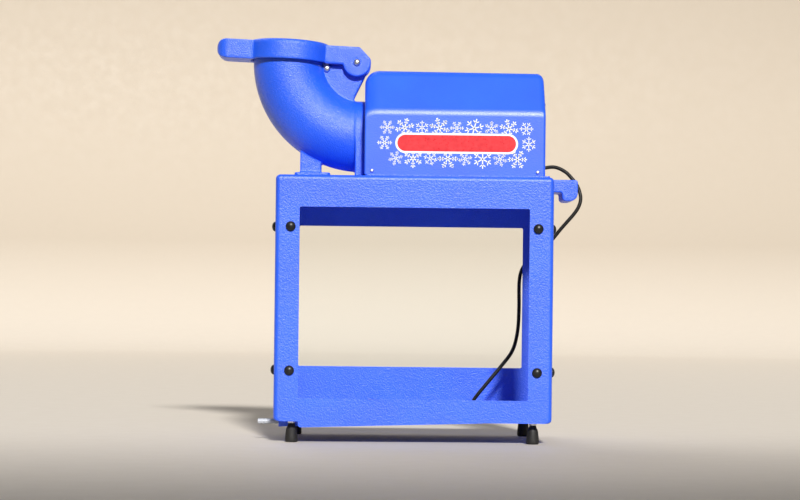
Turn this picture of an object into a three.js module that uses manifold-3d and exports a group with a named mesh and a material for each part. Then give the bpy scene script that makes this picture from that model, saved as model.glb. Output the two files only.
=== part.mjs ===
// Shaved ice machine: a sheet-metal snow cabinet on levelling feet, with a cast feed elbow, a lever
// lid with its ice pusher, and a motor-driven cutter disc under a louvred hood. Millimetres, +Z up.
// The operator stands at +Y. Sizes are worked out about the cabinet's centre line and a datum just
// above the resting surface, and the last section moves the machine so that the origin is the bottom
// centre of its box.
import * as THREE from "three";
import { mergeVertices } from "three/addons/utils/BufferGeometryUtils.js";
import Module from "manifold-3d";

const wasm = await Module();
wasm.setup();

// ---------------------------------------------------------------- driving dimensions
const GAP = 0.3; // between touching pieces
const SHEET = 2; // sheet-metal thickness

const CABINET_HALF_WIDTH = 270;
const CABINET_HALF_DEPTH = 165;
const CABINET_BOTTOM = 38;
const CABINET_TOP = 516;
const CORNER_RADIUS = 9;
const TOP_EDGE_RADIUS = 8;
const TRAY_DEPTH = 20; // how far the front and rear panels wrap round the corners

const FRONT_OPENING = { halfWidth: 223, bottom: 82, top: 454 };
const REAR_OPENING = { halfWidth: 232, bottom: 136, top: 427 };
const SIDE_OPENING = { halfWidth: 112, bottom: 82, top: 454 };
const WINDOW_THICKNESS = 3;
const WINDOW_LAP = 14; // how far a window reaches past its opening

const FASTENER_HEAD_RADIUS = 9.75;
const FASTENER_HEAD_HEIGHT = 7.5;
const FASTENER_SHANK_RADIUS = 3;
const FASTENER_LENGTH = 12;
const FASTENER_X = 240;
const FASTENER_Y = 126;
const FASTENER_HEIGHTS = [136.5, 415.5];

const FLOOR_TOP = 48;
const FOOT_X = 235;
const FOOT_Y = 135;
const FOOT_BOTTOM = -3.5;
const FOOT_TOP = 33;
const STUD_RADIUS = 4;
const STUD_TOP = 64;

const SUMP = { left: -261, right: 130, front: -118, rear: 60, lowZ: 25, highZ: 37.5 };
const APRON = { left: -222, right: 136, lowZ: 26.5, highZ: 37.6 }; // closes the sump off in front
const SPIGOT = { y: -60, z: 32.6, radius: 5, bore: 3.5, end: -304 };

const AXIS_Z = 600; // centre line of the cutter and motor
const BEND_X = -104; // where the feed elbow ends and its bend is centred
const BEND_Z = 749;
const BEND_RADIUS = 149;
const ELBOW_RADIUS = 70;
const ELBOW_BORE = 62;
const MOUTH_TOP = 755;
const PIN_X = -116;
const PIN_Z = 747;
const PIN_RADIUS = 5;
const LID_TILT = THREE.MathUtils.degToRad(2.5);

const HOOD = { left: -99, right: 255, halfDepth: 125, top: 729, bendZ: 644, shoulder: 62 };
const BASE_PLATE_TOP = 520;
const DRAFT = 3; // how far the hood's right end leans in at the top

const CUTTER_RADIUS = 64;
const HOUSING_RADIUS = 79;
const SHAFT_RADIUS = 8;
const MOTOR = { left: 30, right: 170, radius: 60, wall: 4 };
const BEARING_RADIUS = 15;
const BLADE_COUNT = 3;
const FAN_BLADES = 6;

const CORD_RADIUS = 3.8;
const CORD_SIDES = 8;
const CORD_EXIT = { x: 225, z: 542 };
const RELIEF_LENGTH = 36;
const COIL = { x: 60, y: 20, radius: 42, halfWidth: 8, height: 15.8 };

// ---------------------------------------------------------------- materials
const BLUE = { color: 0x1c48e6, roughness: 0.42, metalness: 0.1 };
const BLACK_RUBBER = { color: 0x1a1a1c, roughness: 0.75, metalness: 0 };
const BLACK_PLASTIC = { color: 0x202124, roughness: 0.4, metalness: 0 };
const STEEL = { color: 0xb9bcc0, roughness: 0.3, metalness: 1 };
const CAST = { color: 0x9fa2a6, roughness: 0.5, metalness: 1 };
const CLEAR = { color: 0xdfeaf2, roughness: 0.08, metalness: 0, transparent: true, opacity: 0.25 };
const MILKY = { color: 0xe4e6e0, roughness: 0.3, metalness: 0, transparent: true, opacity: 0.7 };
const MOTOR_PAINT = { color: 0x3c4046, roughness: 0.55, metalness: 0.3 };

const machine = new THREE.Group();
const cordSet = new THREE.Group();

// ---------------------------------------------------------------- solids
function solidOf(geometry) {
  const bare = geometry.index ? geometry.toNonIndexed() : geometry.clone();
  const plain = new THREE.BufferGeometry();
  plain.setAttribute("position", bare.getAttribute("position"));
  const merged = mergeVertices(plain, 1e-4);
  const mesh = new wasm.Mesh({
    numProp: 3,
    vertProperties: merged.getAttribute("position").array,
    triVerts: new Uint32Array(merged.index.array),
  });
  return new wasm.Manifold(mesh);
}

function geometryOf(solid) {
  const mesh = solid.getMesh();
  const geometry = new THREE.BufferGeometry();
  geometry.setAttribute("position", new THREE.BufferAttribute(mesh.vertProperties, 3));
  geometry.setIndex(new THREE.BufferAttribute(mesh.triVerts, 1));
  geometry.computeVertexNormals();
  return geometry;
}

function add(name, solid, finish, parent = machine) {
  const mesh = new THREE.Mesh(geometryOf(solid), new THREE.MeshStandardMaterial(finish));
  mesh.name = name;
  parent.add(mesh);
  return mesh;
}

const join = (first, ...others) => others.reduce((whole, piece) => whole.add(piece), first);
const cut = (first, ...others) => others.reduce((whole, piece) => whole.subtract(piece), first);

function box(x0, x1, y0, y1, z0, z1) {
  const geometry = new THREE.BoxGeometry(x1 - x0, y1 - y0, z1 - z0);
  geometry.translate((x0 + x1) / 2, (y0 + y1) / 2, (z0 + z1) / 2);
  return solidOf(geometry);
}

// An outline swept between two planes. Its coordinates are (y, z), (x, z) or (x, y) in turn.
function extrude(shape, depth, curveSegments = 6) {
  return new THREE.ExtrudeGeometry(shape, { depth, bevelEnabled: false, curveSegments });
}

function slabAlongX(shape, x0, x1, curveSegments) {
  const geometry = extrude(shape, x1 - x0, curveSegments);
  const turn = new THREE.Matrix4().makeBasis(
    new THREE.Vector3(0, 1, 0),
    new THREE.Vector3(0, 0, 1),
    new THREE.Vector3(1, 0, 0),
  );
  geometry.applyMatrix4(turn);
  geometry.translate(x0, 0, 0);
  return solidOf(geometry);
}

function slabAlongY(shape, y0, y1, curveSegments) {
  const geometry = extrude(shape, y1 - y0, curveSegments);
  const turn = new THREE.Matrix4().makeBasis(
    new THREE.Vector3(1, 0, 0),
    new THREE.Vector3(0, 0, 1),
    new THREE.Vector3(0, -1, 0),
  );
  geometry.applyMatrix4(turn);
  geometry.translate(0, y1, 0);
  return solidOf(geometry);
}

function slabAlongZ(shape, z0, z1, curveSegments) {
  const geometry = extrude(shape, z1 - z0, curveSegments);
  geometry.translate(0, 0, z0);
  return solidOf(geometry);
}

// A rectangle whose four corners have their own radii: lower left, lower right, upper right,
// upper left.
function roundedRectangle(x0, x1, y0, y1, radii) {
  const [lowLeft, lowRight, highRight, highLeft] = radii;
  const shape = new THREE.Shape();
  shape.moveTo(x0 + lowLeft, y0);
  shape.lineTo(x1 - lowRight, y0);
  if (lowRight) shape.absarc(x1 - lowRight, y0 + lowRight, lowRight, -Math.PI / 2, 0, false);
  shape.lineTo(x1, y1 - highRight);
  if (highRight) shape.absarc(x1 - highRight, y1 - highRight, highRight, 0, Math.PI / 2, false);
  shape.lineTo(x0 + highLeft, y1);
  if (highLeft) shape.absarc(x0 + highLeft, y1 - highLeft, highLeft, Math.PI / 2, Math.PI, false);
  shape.lineTo(x0, y0 + lowLeft);
  if (lowLeft) shape.absarc(x0 + lowLeft, y0 + lowLeft, lowLeft, Math.PI, 1.5 * Math.PI, false);
  return shape;
}

function circle(x, y, radius) {
  const shape = new THREE.Shape();
  shape.absarc(x, y, radius, 0, 2 * Math.PI, false);
  return shape;
}

function outline(points) {
  return new THREE.Shape(points.map(([x, y]) => new THREE.Vector2(x, y)));
}

function rodAlongX(radius, x0, x1, y, z, segments = 12) {
  return slabAlongX(circle(y, z, radius), x0, x1, segments);
}

function rodAlongY(radius, y0, y1, x, z, segments = 12) {
  return slabAlongY(circle(x, z, radius), y0, y1, segments);
}

function rodAlongZ(radius, z0, z1, x, y, segments = 12) {
  return slabAlongZ(circle(x, y, radius), z0, z1, segments);
}

// A turned piece about local +Z, whose profile points are (radius, height).
function lathe(points, segments = 24) {
  const profile = points.map(([radius, height]) => new THREE.Vector2(radius, height));
  const geometry = new THREE.LatheGeometry(profile, segments);
  geometry.rotateX(Math.PI / 2);
  return geometry;
}

// The same, standing on a point and pointing along a direction.
function turned(points, position, direction, segments) {
  const geometry = lathe(points, segments);
  const turn = new THREE.Quaternion().setFromUnitVectors(
    new THREE.Vector3(0, 0, 1),
    direction.clone().normalize(),
  );
  geometry.applyQuaternion(turn);
  geometry.translate(position.x, position.y, position.z);
  return solidOf(geometry);
}

// Points of a quarter or smaller arc, as profile points.
function arcPoints(cx, cy, radius, from, to, count) {
  return Array.from({ length: count + 1 }, (_, i) => {
    const angle = from + ((to - from) * i) / count;
    return [cx + radius * Math.cos(angle), cy + radius * Math.sin(angle)];
  });
}

// ---------------------------------------------------------------- cabinet
function cabinetBlock(inset) {
  const halfWidth = CABINET_HALF_WIDTH - inset;
  const halfDepth = CABINET_HALF_DEPTH - inset;
  const top = CABINET_TOP - inset;
  const bottom = CABINET_BOTTOM - (inset ? 1 : 0);
  const corner = CORNER_RADIUS - inset;
  const edge = TOP_EDGE_RADIUS - inset;
  const plan = roundedRectangle(-halfWidth, halfWidth, -halfDepth, halfDepth, Array(4).fill(corner));
  const elevation = roundedRectangle(-halfWidth, halfWidth, bottom, top, Array(4).fill(edge));
  const section = roundedRectangle(-halfDepth, halfDepth, bottom, top, [0, 0, edge, edge]);
  return slabAlongZ(plan, bottom, top, BEND_SEGMENTS)
    .intersect(slabAlongY(elevation, -halfDepth, halfDepth, BEND_SEGMENTS))
    .intersect(slabAlongX(section, -halfWidth, halfWidth, BEND_SEGMENTS));
}

const WALL_REACH = 12; // how far a cutting tool reaches past a wall
const OPENING_RADIUS = 3;
const BEND_SEGMENTS = 2;

function openingShape({ halfWidth, bottom, top }) {
  return roundedRectangle(-halfWidth, halfWidth, bottom, top, Array(4).fill(OPENING_RADIUS));
}

function frontFastenerHoles(y0, y1) {
  return [-FASTENER_X, FASTENER_X].flatMap((x) =>
    FASTENER_HEIGHTS.map((z) => rodAlongY(FASTENER_SHANK_RADIUS + GAP, y0, y1, x, z, 5)),
  );
}

function sideFastenerHoles(x0, x1) {
  return [-FASTENER_Y, FASTENER_Y].flatMap((y) =>
    FASTENER_HEIGHTS.map((z) => rodAlongX(FASTENER_SHANK_RADIUS + GAP, x0, x1, y, z, 5)),
  );
}

// The front panel's lower edge, which hangs down in front of the sloping sump.
function apron() {
  const { left, right, lowZ, highZ } = APRON;
  const inside = CABINET_BOTTOM + WALL_REACH;
  const edge = outline([
    [left, inside],
    [left, lowZ + 4],
    [left + 2, lowZ + 1],
    [left + 6, lowZ],
    [right, highZ],
    [right, inside],
  ]);
  return slabAlongY(edge, -CABINET_HALF_DEPTH, -CABINET_HALF_DEPTH + SHEET);
}

function addCabinet() {
  const shell = cut(cabinetBlock(0), cabinetBlock(SHEET));
  const trayEdge = CABINET_HALF_DEPTH - TRAY_DEPTH;
  const width = CABINET_HALF_WIDTH;
  const depth = CABINET_HALF_DEPTH;
  const middle = trayEdge - GAP;
  const deckEdge = CABINET_TOP - TRAY_DEPTH;

  const frontBox = box(-width, width, -depth, -trayEdge, CABINET_BOTTOM, CABINET_TOP);
  const frontHole = slabAlongY(openingShape(FRONT_OPENING), -depth - 1, -trayEdge, 1);
  const frontScrewHoles = frontFastenerHoles(-depth - 1, -depth + WALL_REACH);
  const front = cut(shell.intersect(frontBox), frontHole, ...frontScrewHoles);
  add("front_panel", join(front, apron()), BLUE);

  const rearBox = box(-width, width, trayEdge, depth, CABINET_BOTTOM, CABINET_TOP);
  const rearHole = slabAlongY(openingShape(REAR_OPENING), trayEdge, depth + 1, 1);
  add("rear_panel", cut(shell.intersect(rearBox), rearHole), BLUE);

  const deckBox = box(-width, width, -middle, middle, deckEdge, CABINET_TOP);
  const chuteHole = box(CHUTE.x0, CHUTE.x1, -CHUTE.halfDepth, CHUTE.halfDepth, deckEdge, CABINET_TOP + 1);
  add("top_deck", cut(shell.intersect(deckBox), chuteHole), BLUE);

  for (const [name, side] of [["left", -1], ["right", 1]]) {
    const [x0, x1] = [side * width, side * (width - WALL_REACH)].sort((a, b) => a - b);
    const wallBox = box(x0, x1, -middle, middle, CABINET_BOTTOM, deckEdge - GAP);
    const wallHole = slabAlongX(openingShape(SIDE_OPENING), x0 - 1, x1, 1);
    const wall = cut(shell.intersect(wallBox), wallHole, ...sideFastenerHoles(x0 - 1, x1));
    add(`${name}_panel`, wall, BLUE);
    addSideWindow(name, side);
  }
  addFrontWindow();
}

function addFrontWindow() {
  const { halfWidth, bottom, top } = FRONT_OPENING;
  const face = -CABINET_HALF_DEPTH + SHEET + GAP;
  const pane = box(
    -halfWidth - 2 * WINDOW_LAP,
    halfWidth + 2 * WINDOW_LAP,
    face,
    face + WINDOW_THICKNESS,
    bottom - WINDOW_LAP,
    top + WINDOW_LAP,
  );
  add("front_window", cut(pane, ...frontFastenerHoles(face - 1, face + WALL_REACH)), CLEAR);
}

function addSideWindow(name, side) {
  const { halfWidth, bottom, top } = SIDE_OPENING;
  const outer = side * (CABINET_HALF_WIDTH - SHEET - GAP);
  const inner = outer - side * WINDOW_THICKNESS;
  const [x0, x1] = [outer, inner].sort((a, b) => a - b);
  const reach = halfWidth + 2 * WINDOW_LAP;
  const pane = box(x0, x1, -reach, reach, bottom - WINDOW_LAP, top + WINDOW_LAP);
  add(`${name}_window`, cut(pane, ...sideFastenerHoles(x0 - 1, x1 + 1)), CLEAR);
}

// A domed plastic head with its shank, pointing outwards from the wall.
function windowFastener(x, y, z, direction) {
  const dome = arcPoints(0, 0, 1, Math.PI / 12, Math.PI / 2, 3).map(([r, h]) => [
    r * FASTENER_HEAD_RADIUS,
    GAP + h * FASTENER_HEAD_HEIGHT,
  ]);
  dome[dome.length - 1][0] = 0;
  const profile = [
    [0, -FASTENER_LENGTH],
    [FASTENER_SHANK_RADIUS, -FASTENER_LENGTH],
    [FASTENER_SHANK_RADIUS, GAP],
    [FASTENER_HEAD_RADIUS, GAP],
    ...dome,
  ];
  return turned(profile, new THREE.Vector3(x, y, z), direction, 10);
}

function addWindowFasteners() {
  const names = ["lower", "upper"];
  FASTENER_HEIGHTS.forEach((z, level) => {
    for (const [side, sign] of [["left", -1], ["right", 1]]) {
      const forward = new THREE.Vector3(0, -1, 0);
      const front = windowFastener(sign * FASTENER_X, -CABINET_HALF_DEPTH, z, forward);
      add(`front_fastener_${side}_${names[level]}`, front, BLACK_PLASTIC);
      const outward = new THREE.Vector3(sign, 0, 0);
      for (const [place, y] of [["front", -FASTENER_Y], ["rear", FASTENER_Y]]) {
        const knob = windowFastener(sign * CABINET_HALF_WIDTH, y, z, outward);
        add(`${side}_fastener_${place}_${names[level]}`, knob, BLACK_PLASTIC);
      }
    }
  });
}

// ---------------------------------------------------------------- floor, sump and feet
const FLOOR_SLOTS = 9;
const SLOT_PITCH = 34;

function forEachFoot(action) {
  for (const [place, y] of [["front", -FOOT_Y], ["rear", FOOT_Y]])
    for (const [side, x] of [["left", -FOOT_X], ["right", FOOT_X]]) action(`${place}_${side}`, x, y);
}

function addFloor() {
  const inside = CABINET_HALF_WIDTH - SHEET - GAP;
  const deep = CABINET_HALF_DEPTH - SHEET - GAP;
  const plan = roundedRectangle(-inside, inside, -deep, deep, Array(4).fill(CORNER_RADIUS - SHEET));
  const plate = slabAlongZ(plan, FLOOR_TOP - SHEET, FLOOR_TOP, BEND_SEGMENTS);
  const rim = slabAlongZ(plan, FLOOR_TOP - SHEET, FLOOR_TOP + WALL_REACH, BEND_SEGMENTS);
  const well = box(
    -inside + SHEET,
    inside - SHEET,
    -deep + SHEET,
    deep - SHEET,
    FLOOR_TOP - SHEET - 1,
    FLOOR_TOP + WALL_REACH + 1,
  );
  const slots = Array.from({ length: FLOOR_SLOTS }, (_, i) => {
    const x = -20 + (i - (FLOOR_SLOTS - 1) / 2) * SLOT_PITCH;
    return slabAlongZ(
      roundedRectangle(x - 3, x + 3, -112, -30, [3, 3, 3, 3]),
      FLOOR_TOP - SHEET - 1,
      FLOOR_TOP + 1,
      1,
    );
  });
  const studHoles = [];
  forEachFoot((name, x, y) => {
    studHoles.push(rodAlongZ(STUD_RADIUS + GAP, FLOOR_TOP - SHEET - 1, FLOOR_TOP + 1, x, y, 4));
  });
  const tray = cut(rim, well).add(plate);
  add("floor_pan", cut(tray, ...slots, ...studHoles), BLUE);
}

function addSump() {
  const { left, right, front, rear, lowZ, highZ } = SUMP;
  const top = FLOOR_TOP - SHEET - GAP;
  const outer = outline([[left, lowZ], [right, highZ], [right, top], [left, top]]);
  const inner = outline([
    [left + SHEET, lowZ + SHEET],
    [right - SHEET, highZ + SHEET],
    [right - SHEET, top + 1],
    [left + SHEET, top + 1],
  ]);
  const body = slabAlongY(outer, front, rear);
  const hollow = slabAlongY(inner, front + SHEET, rear - SHEET);
  const outlet = rodAlongX(SPIGOT.radius + GAP, left - 1, left + SHEET + 1, SPIGOT.y, SPIGOT.z, 4);
  add("drain_sump", cut(body, hollow, outlet), BLUE);

  const wall = rodAlongX(SPIGOT.radius, SPIGOT.end, left + 6, SPIGOT.y, SPIGOT.z, 4);
  const bore = rodAlongX(SPIGOT.bore, SPIGOT.end - 1, left + 7, SPIGOT.y, SPIGOT.z, 4);
  add("drain_spigot", cut(wall, bore), MILKY);
}

function addFeet() {
  const up = new THREE.Vector3(0, 0, 1);
  const height = FOOT_TOP - FOOT_BOTTOM;
  const profile = [
    [0, 0],
    [10.4, 0],
    [12.3, 2.4],
    [12.6, 7],
    [10.6, 25],
    [7.5, 32],
    [6.5, height],
    [0, height],
  ];
  forEachFoot((name, x, y) => {
    const place = new THREE.Vector3(x, y, FOOT_BOTTOM);
    add(`foot_${name}`, turned(profile, place, up, 12), BLACK_RUBBER);
    const stud = rodAlongZ(STUD_RADIUS, FOOT_TOP + GAP, STUD_TOP, x, y, 4);
    add(`stud_${name}`, stud, STEEL);
  });
}

// ---------------------------------------------------------------- side handle
function addSideHandle() {
  const wall = CABINET_HALF_WIDTH + GAP;
  const tip = 322;
  const top = 515;
  const neck = 490;
  const hookInner = 291;
  const hookBottom = 473;
  const round = 8;
  const shape = new THREE.Shape();
  shape.moveTo(wall, neck);
  shape.lineTo(hookInner - 4, neck);
  shape.absarc(hookInner - 4, neck - 4, 4, Math.PI / 2, 0, true);
  shape.lineTo(hookInner, hookBottom + round);
  shape.absarc(hookInner + round, hookBottom + round, round, Math.PI, 1.5 * Math.PI, false);
  shape.lineTo(tip - 2 * round, hookBottom);
  shape.absarc(tip - 2 * round, hookBottom + 2 * round, 2 * round, 1.5 * Math.PI, 2 * Math.PI, false);
  shape.lineTo(tip, top - 4);
  shape.absarc(tip - 4, top - 4, 4, 0, Math.PI / 2, false);
  shape.lineTo(wall, top);
  add("side_handle", slabAlongY(shape, -95, -5, 4), BLUE);
}

// ---------------------------------------------------------------- feed elbow
const ELBOW_SIDES = 24;
const ELBOW_STEPS = 10;

// A solid bar of round section along the quarter bend, from the mouth to the foot.
function bendBar(radius) {
  const arc = new THREE.Curve();
  arc.getPoint = (t, target = new THREE.Vector3()) => {
    const angle = (t * Math.PI) / 2;
    return target.set(
      BEND_X - BEND_RADIUS * Math.cos(angle),
      0,
      BEND_Z - BEND_RADIUS * Math.sin(angle),
    );
  };
  const geometry = new THREE.ExtrudeGeometry(circle(0, 0, radius), {
    steps: ELBOW_STEPS,
    curveSegments: ELBOW_SIDES / 2,
    extrudePath: arc,
    bevelEnabled: false,
  });
  return solidOf(geometry);
}

function addElbow() {
  const mouthX = BEND_X - BEND_RADIUS;
  const neck = rodAlongZ(ELBOW_RADIUS, BEND_Z - 1, MOUTH_TOP, mouthX, 0, ELBOW_SIDES / 2);
  const neckBore = rodAlongZ(ELBOW_BORE, BEND_Z - 2, MOUTH_TOP + 1, mouthX, 0, ELBOW_SIDES / 2);

  const flangeHalf = ELBOW_RADIUS + 2;
  const deck = CABINET_TOP + GAP;
  const arch = new THREE.Shape();
  arch.moveTo(-flangeHalf, deck);
  arch.lineTo(flangeHalf, deck);
  arch.lineTo(flangeHalf, AXIS_Z);
  arch.absarc(0, AXIS_Z, flangeHalf, 0, Math.PI, false);
  const flange = slabAlongX(arch, BEND_X - 14, BEND_X + 4, 12);
  const flangeBore = rodAlongX(ELBOW_BORE, BEND_X - 8, BEND_X + 5, 0, AXIS_Z, ELBOW_SIDES / 2);

  const leg = box(-227, -185, -25, 25, deck + 6, 570);
  const footPlate = slabAlongZ(roundedRectangle(-238, -167, -40, 40, [6, 6, 6, 6]), deck, deck + 11, 3);

  const casting = join(bendBar(ELBOW_RADIUS), neck, flange, leg, footPlate);
  add("feed_elbow", cut(casting, bendBar(ELBOW_BORE), neckBore, flangeBore), BLUE);
}

const HINGE_WEB_HALF = 19;
const HINGE_WEB_TOP = 742;
const STOP_SCREW = { x: -176, z: 735.5 };

// The web in the crook of the elbow, which holds the hinge pin and the stop screw.
function addHingeWeb() {
  const web = new THREE.Shape();
  web.moveTo(-190, HINGE_WEB_TOP);
  web.lineTo(-205, 690);
  web.lineTo(-118, 655);
  web.lineTo(-121, 677);
  web.lineTo(PIN_X + 17, PIN_Z - 25);
  web.absarc(PIN_X, PIN_Z, 20, -Math.PI / 4, Math.PI, false);
  web.lineTo(PIN_X - 24, HINGE_WEB_TOP);
  const slab = slabAlongY(web, -HINGE_WEB_HALF, HINGE_WEB_HALF, 5);
  const pinHole = rodAlongY(PIN_RADIUS + GAP, -50, 50, PIN_X, PIN_Z, 6);
  const screwHole = rodAlongY(3 + GAP, -50, -8, STOP_SCREW.x, STOP_SCREW.z, 4);
  const room = ELBOW_RADIUS + GAP;
  const neck = rodAlongZ(room, BEND_Z - 1, MOUTH_TOP, BEND_X - BEND_RADIUS, 0, ELBOW_SIDES / 2);
  add("hinge_web", cut(slab, bendBar(room), neck, pinHole, screwHole), BLUE);
}

function addStopScrew() {
  const head = [
    [0, -10],
    [3, -10],
    [3, GAP],
    [7, GAP],
    [7, 3],
    [5, 5.5],
    [0, 6.3],
  ];
  const place = new THREE.Vector3(STOP_SCREW.x, -HINGE_WEB_HALF, STOP_SCREW.z);
  add("stop_screw", turned(head, place, new THREE.Vector3(0, -1, 0), 12), STEEL);
}

// ---------------------------------------------------------------- lever lid
const EAR_INNER = 20;
const EAR_OUTER = 35;
const BOSS_RADIUS = 28;
const CAP = { x: -253, radius: 81, bottom: 743, top: 783, wall: 5, ceiling: 770 };
const ARM_START = CAP.x + 75;
const PADDLE = { tip: -396, halfDepth: 42, bottom: 742, top: 780 };
const ARM = { bottom: 742, top: 778 };

const lid = new THREE.Group();
lid.position.set(PIN_X, 0, PIN_Z);
lid.rotation.y = LID_TILT;
machine.add(lid);

function addToLid(name, solid, finish) {
  const mesh = add(name, solid, finish, lid);
  mesh.geometry.translate(-PIN_X, 0, -PIN_Z);
}

function addLid() {
  const up = new THREE.Vector3(0, 0, 1);
  const height = CAP.top - CAP.bottom;
  const capProfile = [
    [0, 0],
    [CAP.radius - 2, 0],
    [CAP.radius, 2],
    [CAP.radius, height - 8],
    [CAP.radius - 3, height - 3],
    [CAP.radius - 10, height - 0.5],
    [CAP.radius - 40, height + 2],
    [0, height + 3],
  ];
  const cap = turned(capProfile, new THREE.Vector3(CAP.x, 0, CAP.bottom), up, 28);
  const recess = rodAlongZ(CAP.radius - CAP.wall, CAP.bottom - 8, CAP.ceiling, CAP.x, 0, 14);

  const grip = roundedRectangle(PADDLE.tip, CAP.x - 60, PADDLE.bottom, PADDLE.top, [18, 0, 0, 17]);
  const gripPlan = roundedRectangle(
    PADDLE.tip,
    CAP.x - 60,
    -PADDLE.halfDepth,
    PADDLE.halfDepth,
    [24, 0, 0, 24],
  );
  const paddle = slabAlongY(grip, -PADDLE.halfDepth, PADDLE.halfDepth, 5).intersect(
    slabAlongZ(gripPlan, PADDLE.bottom, PADDLE.top, 5),
  );

  const arm = new THREE.Shape();
  arm.moveTo(ARM_START, ARM.bottom);
  arm.lineTo(PIN_X - 26, ARM.bottom);
  arm.absarc(PIN_X, PIN_Z, BOSS_RADIUS, Math.PI + 0.25, 2 * Math.PI + 0.35, false);
  arm.lineTo(PIN_X + 4, ARM.top);
  arm.lineTo(ARM_START, ARM.top);
  const arms = [-1, 1].map((side) => {
    const [y0, y1] = [side * EAR_INNER, side * EAR_OUTER].sort((a, b) => a - b);
    return slabAlongY(arm, y0, y1, 8);
  });
  const bridge = box(ARM_START, -164, -EAR_OUTER, EAR_OUTER, ARM.top - 26, ARM.top);
  const pinHole = rodAlongY(PIN_RADIUS + GAP, -60, 60, PIN_X, PIN_Z, 6);
  addToLid("lid", cut(join(cap, paddle, ...arms, bridge), recess, pinHole), BLUE);
}

function addPusher() {
  const inner = 90.5;
  const outer = 188.5;
  const middle = (inner + outer) / 2;
  const plateAngle = THREE.MathUtils.degToRad(78);
  const radius = (outer - inner) / 2 - 0.5;

  // The plate is a disc square to the swing, at its angle below the mouth.
  const swing = new THREE.Vector3(Math.sin(plateAngle), 0, -Math.cos(plateAngle));
  const centre = new THREE.Vector3(
    PIN_X - middle * Math.cos(plateAngle),
    0,
    PIN_Z - middle * Math.sin(plateAngle),
  );
  const plate = turned([[0, -10], [radius, -10], [radius, 0], [0, 0]], centre, swing, 24);

  const bar = new THREE.Shape();
  const start = Math.PI + 0.04;
  const end = Math.PI + plateAngle - 0.04;
  bar.absarc(PIN_X, PIN_Z, middle + 7, start, end, false);
  bar.absarc(PIN_X, PIN_Z, middle - 7, end, start, true);
  const arcBar = slabAlongY(bar, -12, 12, 9);

  const stalk = box(PIN_X - middle - 7, PIN_X - middle + 7, -12, 12, PIN_Z - 12, CAP.ceiling - 4);
  const flange = rodAlongZ(26, CAP.ceiling - 6, CAP.ceiling - GAP, PIN_X - middle, 0, 8);
  addToLid("ice_pusher", join(plate, arcBar, stalk, flange), CAST);
}

function addHingePin() {
  const half = EAR_OUTER + GAP;
  const profile = [
    [0, -half - 5],
    [4, -half - 5],
    [7, -half - 3],
    [7, -half],
    [PIN_RADIUS, -half],
    [PIN_RADIUS, half],
    [7, half],
    [7, half + 3],
    [4, half + 5],
    [0, half + 5],
  ];
  const place = new THREE.Vector3(PIN_X, 0, PIN_Z);
  add("hinge_pin", turned(profile, place, new THREE.Vector3(0, 1, 0), 16), STEEL);
}

// ---------------------------------------------------------------- cutter and motor
const CHUTE = { x0: -92, x1: -52, halfDepth: 48, bottom: 462 };

function addShaverHousing() {
  const left = HOOD.left + SHEET + GAP;
  const right = -46;
  const drum = rodAlongX(HOUSING_RADIUS, left, right, 0, AXIS_Z, 14);
  const spoutHalf = CHUTE.halfDepth;
  const spout = box(left, right, -spoutHalf, spoutHalf, BASE_PLATE_TOP + GAP, AXIS_Z);
  const cavity = rodAlongX(CUTTER_RADIUS + 4, left + 4, right - 5, 0, AXIS_Z, 14);
  const mouth = rodAlongX(ELBOW_BORE, left - 1, left + 5, 0, AXIS_Z, 14);
  const drop = box(left + 12, right - 5, -spoutHalf + 5, spoutHalf - 5, BASE_PLATE_TOP, AXIS_Z - 10);
  const shaftHole = rodAlongX(SHAFT_RADIUS + GAP, right - 6, right + 1, 0, AXIS_Z, 8);
  add("shaver_housing", cut(join(drum, spout), cavity, mouth, drop, shaftHole), CAST);
}

const DISC = { left: -92, right: -84 };

function addCutter() {
  const disc = rodAlongX(CUTTER_RADIUS, DISC.left, DISC.right, 0, AXIS_Z, 16);
  const slots = [];
  const blades = [];
  for (let i = 0; i < BLADE_COUNT; i++) {
    const turn = (i * 2 * Math.PI) / BLADE_COUNT;
    const place = (geometry) => {
      geometry.rotateX(turn);
      geometry.translate(0, 0, AXIS_Z);
      return solidOf(geometry);
    };
    const slot = new THREE.BoxGeometry(DISC.right - DISC.left + 2, 9, 44);
    slot.translate((DISC.left + DISC.right) / 2, 0, 37);
    slots.push(place(slot));
    const blade = new THREE.BoxGeometry(9, 2.5, 42);
    blade.rotateZ(0.45);
    blade.translate((DISC.left + DISC.right) / 2 - 0.5, 0, 37);
    blades.push(place(blade));
  }
  add("cutter_disc", cut(disc, ...slots), STEEL);
  blades.forEach((blade, i) => add(`blade_${i + 1}`, blade, STEEL));
}

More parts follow.
